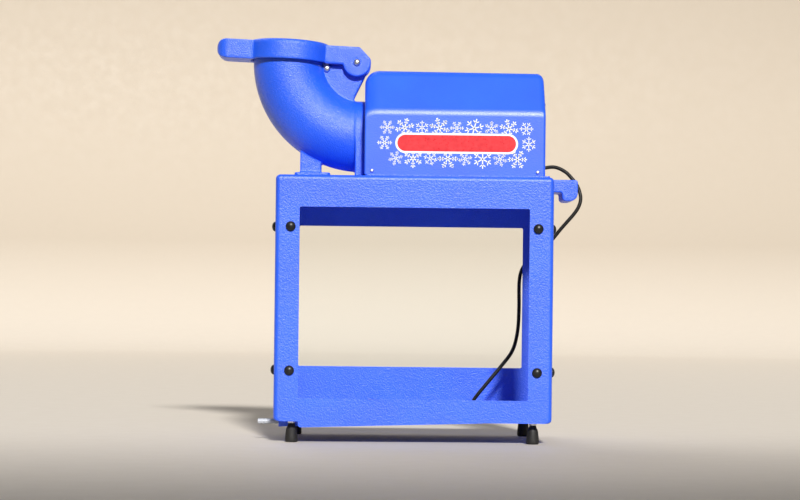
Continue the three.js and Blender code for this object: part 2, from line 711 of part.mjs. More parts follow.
function addMotor() {
  const { left, right, radius, wall } = MOTOR;
  const along = new THREE.Vector3(1, 0, 0);
  const start = new THREE.Vector3(DISC.right + GAP, 0, AXIS_Z);
  const at = (x) => x - start.x;
  const shaftProfile = [
    [0, 0],
    [14, 0],
    [14, 8],
    [SHAFT_RADIUS, 8],
    [SHAFT_RADIUS, at(left + 26)],
    [42, at(left + 26)],
    [42, at(right - 30)],
    [SHAFT_RADIUS, at(right - 30)],
    [SHAFT_RADIUS, at(214)],
    [0, at(214)],
  ];
  add("motor_shaft", turned(shaftProfile, start, along, 16), STEEL);

  const can = rodAlongX(radius, left, right, 0, AXIS_Z, 14);
  const cavity = rodAlongX(radius - wall, left + wall, right - wall, 0, AXIS_Z, 14);
  const seat = rodAlongX(BEARING_RADIUS + GAP, left - 1, right + 1, 0, AXIS_Z, 8);
  const saddle = box(left + 20, right - 20, -45, 45, BASE_PLATE_TOP + GAP, AXIS_Z - 48);
  const relief = box(left + 40, right - 40, -46, 46, BASE_PLATE_TOP, AXIS_Z - radius - 4);
  add("motor_case", cut(join(can, saddle), cavity, seat, relief), MOTOR_PAINT);

  for (const [name, x] of [["front_bearing", left - 2], ["rear_bearing", right - 6]]) {
    const ring = rodAlongX(BEARING_RADIUS, x, x + 8, 0, AXIS_Z, 8);
    const hole = rodAlongX(SHAFT_RADIUS + GAP, x - 1, x + 9, 0, AXIS_Z, 8);
    add(name, cut(ring, hole), STEEL);
  }

  const hub = rodAlongX(14, 190, 204, 0, AXIS_Z, 8);
  const fanBlades = Array.from({ length: FAN_BLADES }, (_, i) => {
    const blade = new THREE.BoxGeometry(16, 2, 40);
    blade.rotateZ(0.7);
    blade.translate(197, 0, 32);
    blade.rotateX((i * 2 * Math.PI) / FAN_BLADES);
    blade.translate(0, 0, AXIS_Z);
    return solidOf(blade);
  });
  const hole = rodAlongX(SHAFT_RADIUS + GAP, 180, 212, 0, AXIS_Z, 8);
  add("cooling_fan", cut(join(hub, ...fanBlades), hole), BLACK_PLASTIC);
}

// ---------------------------------------------------------------- hood and base plate
function addBasePlate() {
  const plan = roundedRectangle(-97, 264, -131, 131, [4, 4, 4, 4]);
  const plate = slabAlongZ(plan, CABINET_TOP + GAP, BASE_PLATE_TOP, 3);
  const hole = box(CHUTE.x0, CHUTE.x1, -CHUTE.halfDepth, CHUTE.halfDepth, CABINET_TOP, BASE_PLATE_TOP + 1);
  add("base_plate", cut(plate, hole), BLUE);
}

// The hood's section: upright sides, a shoulder bent back to a flat top, all bends rounded.
function hoodSection(inset) {
  const half = HOOD.halfDepth - inset;
  const top = HOOD.top - inset;
  const topHalf = HOOD.halfDepth - HOOD.shoulder - inset * 0.4;
  const bottom = BASE_PLATE_TOP + GAP - (inset ? 1 : 0);
  const bend = 16;
  const shape = new THREE.Shape();
  shape.moveTo(-half, bottom);
  shape.lineTo(half, bottom);
  shape.lineTo(half, HOOD.bendZ - bend);
  shape.quadraticCurveTo(half, HOOD.bendZ, half - bend * 0.7, HOOD.bendZ + bend);
  shape.lineTo(topHalf + bend * 0.7, top - bend);
  shape.quadraticCurveTo(topHalf, top, topHalf - bend, top);
  shape.lineTo(bend - topHalf, top);
  shape.quadraticCurveTo(-topHalf, top, -topHalf - bend * 0.7, top - bend);
  shape.lineTo(bend * 0.7 - half, HOOD.bendZ + bend);
  shape.quadraticCurveTo(-half, HOOD.bendZ, -half, HOOD.bendZ - bend);
  return shape;
}

function hoodElevation(inset) {
  const left = HOOD.left + inset;
  const right = HOOD.right - inset;
  const top = HOOD.top - inset;
  const bottom = BASE_PLATE_TOP - (inset ? 1 : 0);
  const leftRound = 28 - inset;
  const rightRound = 12 - inset;
  const shape = new THREE.Shape();
  shape.moveTo(left, bottom);
  shape.lineTo(right, bottom);
  shape.lineTo(right, HOOD.bendZ + 30);
  shape.lineTo(right - DRAFT, top - rightRound);
  shape.quadraticCurveTo(right - DRAFT, top, right - DRAFT - rightRound, top);
  shape.lineTo(left + leftRound, top);
  shape.absarc(left + leftRound, top - leftRound, leftRound, Math.PI / 2, Math.PI, false);
  return shape;
}

function hoodBlock(inset) {
  const { left, right, halfDepth } = HOOD;
  return slabAlongX(hoodSection(inset), left + inset, right - inset, 4).intersect(
    slabAlongY(hoodElevation(inset), inset - halfDepth, halfDepth - inset, 6),
  );
}

const HOOD_SCREWS = [["left", -84], ["right", 240]];
const SWITCH = { x: 190, z: 590, halfWidth: 11, halfHeight: 15 };
const LOUVRES = { count: 5, pitch: 16, bottom: 600, halfDepth: 55, height: 5 };

function addHood() {
  const { left, right, halfDepth } = HOOD;
  const shell = cut(hoodBlock(0), hoodBlock(SHEET));
  const mouth = rodAlongX(ELBOW_BORE, left - 1, left + SHEET + 1, 0, AXIS_Z, 14);
  const screwHoles = HOOD_SCREWS.map(([, x]) =>
    rodAlongY(2 + GAP, -halfDepth - 1, -halfDepth + SHEET + 1, x, SCREW_Z, 4),
  );
  const vents = Array.from({ length: LOUVRES.count }, (_, i) => {
    const z = LOUVRES.bottom + i * LOUVRES.pitch;
    const slot = roundedRectangle(-LOUVRES.halfDepth, LOUVRES.halfDepth, z, z + LOUVRES.height, [2, 2, 2, 2]);
    return slabAlongX(slot, right - 10, right + 1, 2);
  });
  const { x, z, halfWidth, halfHeight } = SWITCH;
  const switchHole = box(
    x - halfWidth - GAP,
    x + halfWidth + GAP,
    halfDepth - SHEET - 1,
    halfDepth + 1,
    z - halfHeight - GAP,
    z + halfHeight + GAP,
  );
  const cordHole = rodAlongY(
    RELIEF_NECK + GAP,
    halfDepth - SHEET - 1,
    halfDepth + 1,
    CORD_EXIT.x,
    CORD_EXIT.z,
    6,
  );
  add("hood", cut(shell, mouth, ...screwHoles, ...vents, switchHole, cordHole), BLUE);
}

const SCREW_Z = 527;

function addHoodScrews() {
  const profile = [
    [0, -8],
    [2, -8],
    [2, GAP],
    [4, GAP],
    [3.4, 2],
    [0, 2.6],
  ];
  for (const [name, x] of HOOD_SCREWS) {
    const place = new THREE.Vector3(x, -HOOD.halfDepth, SCREW_Z);
    const forward = new THREE.Vector3(0, -1, 0);
    add(`hood_screw_${name}`, turned(profile, place, forward, 10), STEEL);
  }
}

function addIceChute() {
  const { x0, x1, halfDepth, bottom } = CHUTE;
  const top = BASE_PLATE_TOP;
  const outer = box(x0 + GAP, x1 - GAP, -halfDepth + GAP, halfDepth - GAP, bottom, top);
  const inner = box(
    x0 + GAP + SHEET,
    x1 - GAP - SHEET,
    -halfDepth + GAP + SHEET,
    halfDepth - GAP - SHEET,
    bottom - 1,
    top + 1,
  );
  add("ice_chute", cut(outer, inner), STEEL);
}

// ---------------------------------------------------------------- power switch
function addSwitch() {
  const { x, z, halfWidth, halfHeight } = SWITCH;
  const face = HOOD.halfDepth;
  const bezel = box(x - 14, x + 14, face + GAP, face + 3, z - 19, z + 19);
  const body = box(x - halfWidth, x + halfWidth, face - 22, face + 1, z - halfHeight, z + halfHeight);
  const well = box(x - 8, x + 8, face - 10, face + 4, z - 13, z + 13);
  add("switch_body", cut(join(bezel, body), well), BLACK_PLASTIC);

  const rocker = new THREE.Shape();
  rocker.moveTo(-5, 0);
  rocker.lineTo(5, 0);
  rocker.lineTo(12, 8);
  rocker.quadraticCurveTo(0, 5.5, -12, 8);
  const geometry = extrude(rocker, 15, 5);
  const upright = new THREE.Matrix4().makeBasis(
    new THREE.Vector3(0, 0, 1),
    new THREE.Vector3(0, 1, 0),
    new THREE.Vector3(-1, 0, 0),
  );
  geometry.applyMatrix4(upright);
  geometry.translate(7.5, -2, 0);
  const mesh = add("switch_rocker", solidOf(geometry), BLACK_PLASTIC);
  mesh.position.set(x, face - 3, z);
  mesh.rotation.x = ROCKER_REST;
}

const ROCKER_REST = THREE.MathUtils.degToRad(9);

// ---------------------------------------------------------------- power cord
const RELIEF_NECK = 8;

function addStrainRelief() {
  const profile = [
    [0, -SHEET - 6],
    [RELIEF_NECK, -SHEET - 6],
    [RELIEF_NECK, GAP],
    [11, GAP],
    [11, 4],
    [9, 5],
    [CORD_RADIUS + 1.6, RELIEF_LENGTH],
    [0, RELIEF_LENGTH],
  ];
  const place = new THREE.Vector3(CORD_EXIT.x, HOOD.halfDepth, CORD_EXIT.z);
  add("strain_relief", turned(profile, place, new THREE.Vector3(0, 1, 0), 12), BLACK_RUBBER);
}

// The lead from the strain relief, past the side handle, in through the serving opening at the
// rear and down to the floor of the cabinet.
const LEAD = [
  [225, 161.3, 542],
  [225, 171, 542],
  [227.4, 182.9, 543],
  [234.1, 192.9, 545],
  [244.1, 199.6, 548],
  [256, 202, 550.8],
  [275.3, 201.5, 554.5],
  [300.3, 199, 556.5],
  [321.2, 195, 547],
  [335.7, 190.5, 532.3],
  [345.9, 186, 517.5],
  [351.8, 182, 500.6],
  [352.7, 179.5, 488],
  [348.3, 177, 473],
  [338.9, 176, 458.3],
  [324.4, 175, 441.4],
  [310, 175, 424.6],
  [295.6, 175, 406.5],
  [279, 175, 388.5],
  [261, 175.3, 373],
  [247, 175.3, 361.5],
  [236, 174.3, 349.5],
  [228.5, 168.5, 334],
  [225, 158, 314],
  [224, 146, 290],
  [223.5, 133, 262],
  [219.5, 110, 213],
  [207.9, 87, 174.1],
  [183.1, 66, 141.5],
  [152.5, 46, 106],
  [131, 30, 80.5],
  [119.5, 15.5, 64],
  [110.6, 0, 54.8],
];
// The short free end, from the coil to the plug.
const TAIL = [
  [9.6, 40, 53.5],
  [11.8, 51.8, 53],
  [9.4, 64, 52.6],
  [2.4, 74.4, 52.4],
  [-8, 81.4, 52.4],
  [-20.2, 83.8, 52.4],
  [-33, 83.8, 52.4],
  [-46, 83.8, 52.4],
];

function cordTube(route, steps) {
  const curve = new THREE.CatmullRomCurve3(
    route.map(([x, y, z]) => new THREE.Vector3(x, y, z)),
    false,
    "centripetal",
  );
  const geometry = new THREE.ExtrudeGeometry(circle(0, 0, CORD_RADIUS), {
    steps,
    curveSegments: CORD_SIDES / 2,
    extrudePath: curve,
    bevelEnabled: false,
  });
  return solidOf(geometry);
}

function addCord() {
  add("cord_lead", cordTube(LEAD, 52), BLACK_RUBBER, cordSet);
  add("cord_tail", cordTube(TAIL, 10), BLACK_RUBBER, cordSet);

  const { x, y, radius, halfWidth, height } = COIL;
  const base = FLOOR_TOP + GAP;
  const ring = [
    [radius - halfWidth, 0],
    [radius + halfWidth, 0],
    [radius + halfWidth, height],
    [radius - halfWidth, height],
    [radius - halfWidth, 0],
  ];
  const up = new THREE.Vector3(0, 0, 1);
  add("cord_coil", turned(ring, new THREE.Vector3(x, y, base), up, 32), BLACK_RUBBER, cordSet);
}

function addPlug() {
  const [endX, endY] = TAIL[TAIL.length - 1];
  const plugZ = FLOOR_TOP + GAP + 12;
  const back = endX - GAP;
  const bodyShape = roundedRectangle(endY - 13, endY + 13, plugZ - 12, plugZ + 12, [6, 6, 9, 9]);
  const body = slabAlongX(bodyShape, back - 40, back - 8, 3);
  const gripShape = roundedRectangle(endY - 7, endY + 7, FLOOR_TOP + GAP, plugZ + 5, [3, 3, 5, 5]);
  const grip = slabAlongX(gripShape, back - 12, back, 3);
  const blades = [-6.3, 6.3].map((offset) =>
    box(back - 56, back - 38, endY + offset - 0.8, endY + offset + 0.8, plugZ - 2, plugZ + 4.3),
  );
  const ground = rodAlongX(2.4, back - 59, back - 38, endY, plugZ - 7.5, 5);
  add("plug", join(body, grip, ...blades, ground), BLACK_RUBBER, cordSet);
}

// ---------------------------------------------------------------- assembly
addCabinet();
addWindowFasteners();
addFloor();
addSump();
addFeet();
addSideHandle();
addElbow();
addHingeWeb();
addStopScrew();
addLid();
addPusher();
addHingePin();
addShaverHousing();
addCutter();
addMotor();
addBasePlate();
addHood();
addHoodScrews();
addIceChute();
addSwitch();
addStrainRelief();
addCord();
addPlug();

// The origin goes to the bottom centre of the machine's box, measured without its cord.
machine.updateMatrixWorld(true);
const extent = new THREE.Box3().setFromObject(machine, true);
const centre = extent.getCenter(new THREE.Vector3());
machine.add(cordSet);
machine.position.set(-centre.x, -centre.y, -extent.min.z);

export default machine;
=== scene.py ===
"""Shaved ice machine: the looks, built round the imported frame. Metres, in the row frame.

Positions are written in millimetres about the cabinet's own centre line (x, y) and the design's
datum (z), just above the resting surface, and go through at() to the row frame.
"""
import math

import bmesh
import bpy
from mathutils import Matrix, Vector


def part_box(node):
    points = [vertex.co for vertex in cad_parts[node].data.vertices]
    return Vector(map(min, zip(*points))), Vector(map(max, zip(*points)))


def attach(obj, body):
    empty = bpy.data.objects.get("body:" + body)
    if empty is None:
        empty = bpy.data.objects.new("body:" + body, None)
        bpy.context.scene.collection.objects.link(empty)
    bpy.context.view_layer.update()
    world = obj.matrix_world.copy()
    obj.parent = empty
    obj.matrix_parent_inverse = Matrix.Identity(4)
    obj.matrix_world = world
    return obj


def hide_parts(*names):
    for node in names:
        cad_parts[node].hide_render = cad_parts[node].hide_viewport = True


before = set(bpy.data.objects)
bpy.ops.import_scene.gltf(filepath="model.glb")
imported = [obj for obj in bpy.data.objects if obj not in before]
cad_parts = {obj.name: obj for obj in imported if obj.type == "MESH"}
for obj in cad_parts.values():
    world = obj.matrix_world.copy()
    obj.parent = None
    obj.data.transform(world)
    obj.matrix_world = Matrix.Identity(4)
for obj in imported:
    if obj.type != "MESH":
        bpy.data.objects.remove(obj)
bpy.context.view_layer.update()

MM = 0.001


# The cabinet's centre line and the datum in the row frame. The deck's top is DECK_HEIGHT above it.
DECK_HEIGHT = 516.0
PANEL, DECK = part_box("front_panel"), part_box("top_deck")
ORIGIN = Vector((
    (PANEL[0].x + PANEL[1].x) / 2, (DECK[0].y + DECK[1].y) / 2, DECK[1].z - DECK_HEIGHT * MM
))


def at(x, y, z):
    return ORIGIN + Vector((x, y, z)) * MM


def design(node):
    """A node's box in design millimetres: (low, high)."""
    low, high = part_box(node)
    return (low - ORIGIN) / MM, (high - ORIGIN) / MM


def middle(node):
    """The middle of a node's box in design millimetres: x, y, z."""
    return [(low + high) / 2 for low, high in zip(*design(node))]


# ---------------------------------------------------------------- driving sizes, millimetres
FRONT_HIGH = design("front_panel")[1]
REAR_LOW, REAR_HIGH = design("rear_panel")
DECK_LOW, DECK_HIGH = design("top_deck")
HOOD_LOW, HOOD_HIGH = design("hood")
BASE_LOW, BASE_HIGH = design("base_plate")
CHUTE = design("ice_chute")

HALF_WIDTH = FRONT_HIGH.x
HALF_DEPTH = REAR_HIGH.y
CABINET_BOTTOM = REAR_LOW.z
CABINET_TOP = FRONT_HIGH.z
SHEET = 2.0
CORNER = 9.0
FRONT_OPENING = (223.0, 82.0, 454.0)  # half width, bottom, top
REAR_OPENING = (232.0, 136.0, 427.0)
SIDE_OPENING = (112.0, 82.0, 454.0)
APRON = [
    (-222.0, 38.0), (-222.0, 30.5), (-220.0, 27.5), (-216.0, 26.5), (136.0, 37.6), (136.0, 38.0)
]

AXIS_Z = 600.0
BEND_X, BEND_Z, BEND_RADIUS = -104.0, 749.0, 149.0
ELBOW_RADIUS, ELBOW_BORE = 70.0, 62.0
MOUTH_TOP = 755.0
MOUTH_X = BEND_X - BEND_RADIUS
PIN_X, PIN_Z, PIN_BORE = -116.0, 747.0, 5.3
WEB_HALF, WEB_TOP = 19.0, 742.0
LID_TILT = math.radians(2.5)
HOOD_BEND_Z = 644.0
HOOD_BEND_RADIUS = 26.0
HOOD_SHOULDER = 62.0

CORD_RADIUS = 3.8
COIL_X, COIL_Y = 60.0, 20.0
COIL_INNER, COIL_OUTER = 38.0, 46.0
CORD_PITCH = 8.0
FLOOR_TOP = 48.0
LAY_GAP = 0.3  # between the floor and what lies on it

# ---------------------------------------------------------------- camera
CAMERA_DISTANCE = 4500.0
CAMERA_HEIGHT = 275.0
CAMERA_X = -95.0
YAW = math.radians(-0.866)
FRAME_WIDTH = 800.0
FOCAL = 2325.0  # in units of the frame's 800 columns
HORIZON_SHIFT = 50.0 / FRAME_WIDTH
ROLL = math.radians(0.64)


def make_camera():
    data = bpy.data.cameras.new("camera")
    data.sensor_width = 36.0
    data.lens = 36.0 * FOCAL / FRAME_WIDTH
    data.shift_y = HORIZON_SHIFT
    data.clip_end = 50.0
    camera = bpy.data.objects.new("camera", data)
    bpy.context.scene.collection.objects.link(camera)
    place = Matrix.Translation(at(CAMERA_X, -HALF_DEPTH - CAMERA_DISTANCE, CAMERA_HEIGHT))
    aim = Matrix.Rotation(YAW, 4, "Z") @ Matrix.Rotation(math.pi / 2, 4, "X")
    camera.matrix_world = place @ aim @ Matrix.Rotation(ROLL, 4, "Z")
    bpy.context.scene.camera = camera


make_camera()


# ---------------------------------------------------------------- node materials
class Shader:
    """A Principled material with short calls for the nodes that these finishes share."""

    def __init__(self, name, colour, roughness, **sockets):
        self.material = bpy.data.materials.new(name)
        self.material.use_nodes = True
        self.tree = self.material.node_tree
        self.link = self.tree.links.new
        self.bsdf = self.tree.nodes["Principled BSDF"]
        self.fill(self.bsdf, Base_Color=(*colour, 1.0), Roughness=roughness, **sockets)
        self.place = self.node("TexCoord").outputs["Object"]

    def fill(self, node, **sockets):
        """Sets a node's inputs by their names, with _ for each space."""
        for socket, value in sockets.items():
            node.inputs[socket.replace("_", " ")].default_value = value
        return node

    def node(self, kind, **sockets):
        return self.fill(self.tree.nodes.new(f"ShaderNode{kind}"), **sockets)

    def noise(self, scale, detail=2.0, rough=0.5, stretch=None):
        place = self.place
        if stretch:
            mapping = self.node("Mapping", Scale=stretch)
            self.link(place, mapping.inputs["Vector"])
            place = mapping.outputs["Vector"]
        node = self.node("TexNoise", Scale=scale, Detail=detail, Roughness=rough)
        self.link(place, node.inputs["Vector"])
        return node.outputs["Fac"]

    def ramp(self, value, low, high, start=0.3, end=0.7):
        """value, taken from low to high as it goes from start to end."""
        node = self.node("MapRange", From_Min=start, From_Max=end, To_Min=low, To_Max=high)
        self.link(value, node.inputs["Value"])
        return node.outputs["Result"]

    def colours(self, value, first, second, start=0.3, end=0.7):
        """Base colour from first to second as value goes from start to end."""
        node = self.node("ValToRGB")
        for stop, place, colour in zip(node.color_ramp.elements, (start, end), (first, second)):
            stop.position = place
            stop.color = (*colour, 1.0)
        self.link(value, node.inputs["Fac"])
        self.link(node.outputs["Color"], self.bsdf.inputs["Base Color"])

    def rough(self, value, low, high):
        self.link(self.ramp(value, low, high), self.bsdf.inputs["Roughness"])

    def bump(self, *layers):
        """Bumps in turn, each (height value, strength, height in metres)."""
        normal = None
        for value, strength, distance in layers:
            node = self.node("Bump", Strength=strength, Distance=distance)
            self.link(value, node.inputs["Height"])
            if normal:
                self.link(normal, node.inputs["Normal"])
            normal = node.outputs["Normal"]
        self.link(normal, self.bsdf.inputs["Normal"])
        return self


def powder_coat(name, roughness, grain, pitch):
    """Textured powder coat: a hard pebbled grain with a little tone and gloss variation."""
    deep, bright = (0.008, 0.09, 0.8), (0.011, 0.12, 0.9)
    shader = Shader(name, bright, roughness, Specular_IOR_Level=0.9)
    cloud = shader.noise(9.0, 3.0)
    pebbles = shader.noise(900.0, 2.0, 0.6)
    peel = shader.noise(pitch, 2.0, 0.6)
    shader.colours(cloud, deep, bright, 0.25, 0.8)
    shader.rough(pebbles, roughness - 0.06, roughness + 0.08)
    return shader.bump((peel, grain, 0.0012), (pebbles, grain * 0.5, 0.0004)).material


def finish(name, colour, roughness, clouds, colours, sheen, gloss, grain, relief, **sockets):
    """A finish with clouds in its colour, uneven gloss and a fine grain.

    clouds, sheen and grain are the scale, detail, roughness and stretch of a noise, as far as
    given. gloss is the roughness from and to, and relief is the grain's strength and height.
    """
    shader = Shader(name, colour, roughness, **sockets)
    shader.colours(shader.noise(*clouds), *colours)
    shader.rough(shader.noise(*sheen), *gloss)
    return shader.bump((shader.noise(*grain), *relief)).material


def printed_film(name, deep, bright):
    return finish(
        name, bright, 0.3,
        (90.0, 3.0), (deep, bright), (300.0,), (0.26, 0.38), (620.0,), (0.15, 0.0002),
    )


def clear_acrylic():
    """A clear pane that lets the light through and reflects only from its outer faces."""
    shader = Shader("clear_acrylic", (0.97, 0.99, 1.0), 0.05)
    link = shader.link
    clear = shader.node("BsdfTransparent", Color=(0.97, 0.985, 0.99, 1.0))
    gloss = shader.node("BsdfGlossy")
    link(shader.ramp(shader.noise(14.0, 4.0, 0.6), 0.02, 0.14), gloss.inputs["Roughness"])
    front = shader.node("Math")
    front.operation = "SUBTRACT"
    front.inputs[0].default_value = 1.0
    link(shader.node("NewGeometry").outputs["Backfacing"], front.inputs[1])
    amount = shader.node("Math")
    amount.operation = "MULTIPLY"
    link(shader.node("Fresnel", IOR=1.15).outputs["Fac"], amount.inputs[0])
    link(front.outputs["Value"], amount.inputs[1])
    mix = shader.node("MixShader")
    link(amount.outputs["Value"], mix.inputs["Fac"])
    link(clear.outputs["BSDF"], mix.inputs[1])
    link(gloss.outputs["BSDF"], mix.inputs[2])
    link(mix.outputs["Shader"], shader.tree.nodes["Material Output"].inputs["Surface"])
    shader.tree.nodes.remove(shader.bsdf)
    return shader.material


SHEET_BLUE = powder_coat("sheet_blue", 0.4, 0.75, 400.0)
HOOD_BLUE = powder_coat("hood_blue", 0.42, 0.3, 380.0)
CAST_BLUE = powder_coat("cast_blue", 0.35, 1.0, 480.0)
BLACK_PLASTIC = finish(
    "black_plastic", (0.012, 0.012, 0.013), 0.34,
    (60.0,), ((0.009, 0.009, 0.01), (0.017, 0.017, 0.019)),
    (140.0,), (0.28, 0.42), (1400.0,), (0.12, 0.0002), Specular_IOR_Level=0.3,
)
BLACK_RUBBER = finish(
    "black_rubber", (0.02, 0.02, 0.02), 0.66,
    (55.0, 5.0, 0.65), ((0.006, 0.006, 0.006), (0.018, 0.017, 0.016), 0.35, 0.85),
    (55.0, 5.0, 0.65), (0.55, 0.8), (900.0, 3.0), (0.25, 0.0003),
)
CORD_JACKET = finish(
    "cord_jacket", (0.006, 0.0055, 0.005), 0.42,
    (38.0, 3.0), ((0.004, 0.0038, 0.0036), (0.01, 0.009, 0.008)),
    (120.0,), (0.34, 0.52), (1100.0,), (0.1, 0.0002), Specular_IOR_Level=0.22,
)
BRIGHT_STEEL = finish(
    "bright_steel", (0.75, 0.75, 0.76), 0.34,
    (240.0, 3.0), ((0.66, 0.66, 0.67), (0.84, 0.84, 0.85)),
    (420.0,), (0.28, 0.44), (700.0,), (0.06, 0.0002), Metallic=1.0,
)
BRUSHED = (60.0, 3.0, 0.6, (1.0, 40.0, 1.0))
STAINLESS = finish(
    "stainless", (0.58, 0.58, 0.57), 0.3,
    BRUSHED, ((0.5, 0.5, 0.49), (0.66, 0.66, 0.65)),
    BRUSHED, (0.22, 0.4), BRUSHED, (0.08, 0.0002), Metallic=1.0, Anisotropic=0.5,
)
CAST_ALUMINIUM = finish(
    "cast_aluminium", (0.55, 0.56, 0.57), 0.48,
    (22.0, 3.0), ((0.47, 0.48, 0.49), (0.62, 0.63, 0.64)),
    (420.0, 4.0, 0.65), (0.38, 0.6), (420.0, 4.0, 0.65), (0.4, 0.0005), Metallic=1.0,
)
MOTOR_ENAMEL = finish(
    "motor_enamel", (0.04, 0.045, 0.05), 0.4,
    (30.0, 3.0), ((0.03, 0.034, 0.038), (0.055, 0.06, 0.066)),
    (200.0,), (0.34, 0.5), (500.0,), (0.2, 0.0003),
)
MILKY_VINYL = finish(
    "milky_vinyl", (0.6, 0.64, 0.7), 0.36,
    (45.0, 3.0), ((0.52, 0.56, 0.62), (0.66, 0.7, 0.75)),
    (160.0,), (0.22, 0.4), (260.0,), (0.1, 0.0003), Transmission_Weight=0.3, IOR=1.45,
)
FILM_WHITE = printed_film("film_white", (0.8, 0.83, 0.92), (0.9, 0.92, 0.97))
FILM_RED = printed_film("film_red", (0.62, 0.02, 0.03), (0.72, 0.035, 0.045))
RED_ROCKER = finish(
    "red_rocker", (0.5, 0.015, 0.012), 0.22,
    (80.0,), ((0.42, 0.012, 0.01), (0.56, 0.02, 0.015)),
    (300.0,), (0.18, 0.3), (900.0,), (0.05, 0.0001), Coat_Weight=0.4,
)
CLEAR_ACRYLIC = clear_acrylic()


# ---------------------------------------------------------------- mesh building
def new_object(name, mesh):
    obj = bpy.data.objects.new(name, mesh)
    bpy.context.scene.collection.objects.link(obj)
    return obj


def object_from(name, work):
    """An object from a bmesh, which is freed."""
    mesh = bpy.data.meshes.new(name)
    work.to_mesh(mesh)
    work.free()
    return new_object(name, mesh)


def mesh_from(name, points, faces):
    """An object from design-millimetre points, with its faces turned to point outwards."""
    mesh = bpy.data.meshes.new(name)
    mesh.from_pydata([at(*p) for p in points], [], faces)
    work = bmesh.new()
    work.from_mesh(mesh)
    bmesh.ops.remove_doubles(work, verts=work.verts, dist=1e-6)
    bmesh.ops.recalc_face_normals(work, faces=work.faces)
    work.to_mesh(mesh)
    work.free()
    return new_object(name, mesh)


def bake_modifiers(obj):
    """Applies the object's modifiers to its mesh."""
    graph = bpy.context.evaluated_depsgraph_get()
    mesh = bpy.data.meshes.new_from_object(obj.evaluated_get(graph))
    old = obj.data
    obj.modifiers.clear()
    obj.data = mesh
    bpy.data.meshes.remove(old)
    return obj


def boolean(obj, operation, *tools):
    for tool in tools:
        step = obj.modifiers.new("boolean", "BOOLEAN")
        step.operation = operation
        step.solver = "EXACT"
        step.object = tool
    bake_modifiers(obj)
    for tool in tools:
        bpy.data.objects.remove(tool)
    return obj


def join_solids(obj, *others):
    return boolean(obj, "UNION", *others)


def cut_solids(obj, *others):
    return boolean(obj, "DIFFERENCE", *others)


def common_solid(obj, *others):
    return boolean(obj, "INTERSECT", *others)


def thicken(obj, thickness, offset):
    """Turns a skin into sheet: offset -1 grows it inwards, 1 outwards and 0 both ways."""
    thick = obj.modifiers.new("thickness", "SOLIDIFY")
    thick.thickness = thickness * MM
    thick.offset = offset
    return bake_modifiers(obj)


def soften(obj, voxel, passes):
    """Melts a joined casting into one skin, whose inside corners become fillets."""
    remesh = obj.modifiers.new("remesh", "REMESH")
    remesh.mode = "VOXEL"
    remesh.voxel_size = voxel * MM
    if passes:
        smooth = obj.modifiers.new("smooth", "SMOOTH")
        smooth.factor = 0.5
        smooth.iterations = passes
    return bake_modifiers(obj)


def soft_edges(obj, width, segments=2, angle=35.0):
    bevel = obj.modifiers.new("bevel", "BEVEL")
    bevel.width = width * MM
    bevel.segments = segments
    bevel.limit_method = "ANGLE"
    bevel.angle_limit = math.radians(angle)
    bevel.harden_normals = False
    return bake_modifiers(obj)


def shade(obj, angle=35.0):
    mesh = obj.data
    mesh.shade_smooth()
    mesh.set_sharp_from_angle(angle=math.radians(angle))
    return obj


def even_normals(obj):
    """Keeps the flats flat where they meet small rounds."""
    if obj.type == "MESH":
        weighted = obj.modifiers.new("even_normals", "WEIGHTED_NORMAL")
        weighted.keep_sharp = True


def place_piece(obj, body, material, slot, *nodes):
    """Gives the piece its finish and its body, and hides the CAD nodes that it stands for."""
    even_normals(obj)
    obj.data.materials.clear()
    obj.data.materials.append(material)
    if nodes:
        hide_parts(*nodes)
    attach(obj, body)
    return obj


def arc(cx, cy, radius, start, end, steps):
    """Points of an arc, in degrees."""
    angles = (math.radians(start + (end - start) * i / steps) for i in range(steps + 1))
    return [(cx + radius * math.cos(a), cy + radius * math.sin(a)) for a in angles]


def rounded(corners, steps=8):
    """A closed outline through (x, y, radius) corners, each rounded by its own radius."""
    outline = []
    count = len(corners)
    for i, (x, y, radius) in enumerate(corners):
        here = Vector((x, y))
        if radius <= 0:
            outline.append((x, y))
            continue
        back = (Vector(corners[i - 1][:2]) - here).normalized()
        ahead = (Vector(corners[(i + 1) % count][:2]) - here).normalized()
        half = back.angle(ahead) / 2
        reach = radius / math.tan(half)
        centre = here + (back + ahead).normalized() * radius / math.sin(half)
        first = here + back * reach - centre
        last = here + ahead * reach - centre
        sweep = first.angle_signed(last)
        for k in range(steps + 1):
            turned = Matrix.Rotation(-sweep * k / steps, 2) @ first
            outline.append(tuple(centre + turned))
    return outline


def rectangle(x0, x1, y0, y1, radius, steps=6):
    return rounded([(x0, y0, radius), (x1, y0, radius), (x1, y1, radius), (x0, y1, radius)], steps)


def ring(x, y, radius, sides=48):
    return arc(x, y, radius, 0, 360 - 360 / sides, sides - 1)


AXES = {
    "x": lambda u, v, w: (w, u, v),
    "y": lambda u, v, w: (u, w, v),
    "z": lambda u, v, w: (u, v, w),
}


def prism(name, outline, axis, low, high, holes=()):
    """An outline in the plane across an axis, with holes in it, from low to high along it."""
    place = AXES[axis]
    work = bmesh.new()
    edges = []
    for loop in [outline, *holes]:
        verts = [work.verts.new(at(*place(u, v, low))) for u, v in loop]
        edges += [work.edges.new((verts[i - 1], verts[i])) for i in range(len(verts))]
    bmesh.ops.triangle_fill(work, use_beauty=True, edges=edges)
    inner = [e for e in work.edges if not e.is_boundary]
    bmesh.ops.dissolve_limit(work, angle_limit=0.01, verts=work.verts, edges=inner)
    sides = bmesh.ops.extrude_face_region(work, geom=list(work.faces))
    moved = [item for item in sides["geom"] if isinstance(item, bmesh.types.BMVert)]
    step = (Vector(place(0, 0, high)) - Vector(place(0, 0, low))) * MM
    bmesh.ops.translate(work, vec=step, verts=moved)
    bmesh.ops.recalc_face_normals(work, faces=work.faces)
    return object_from(name, work)


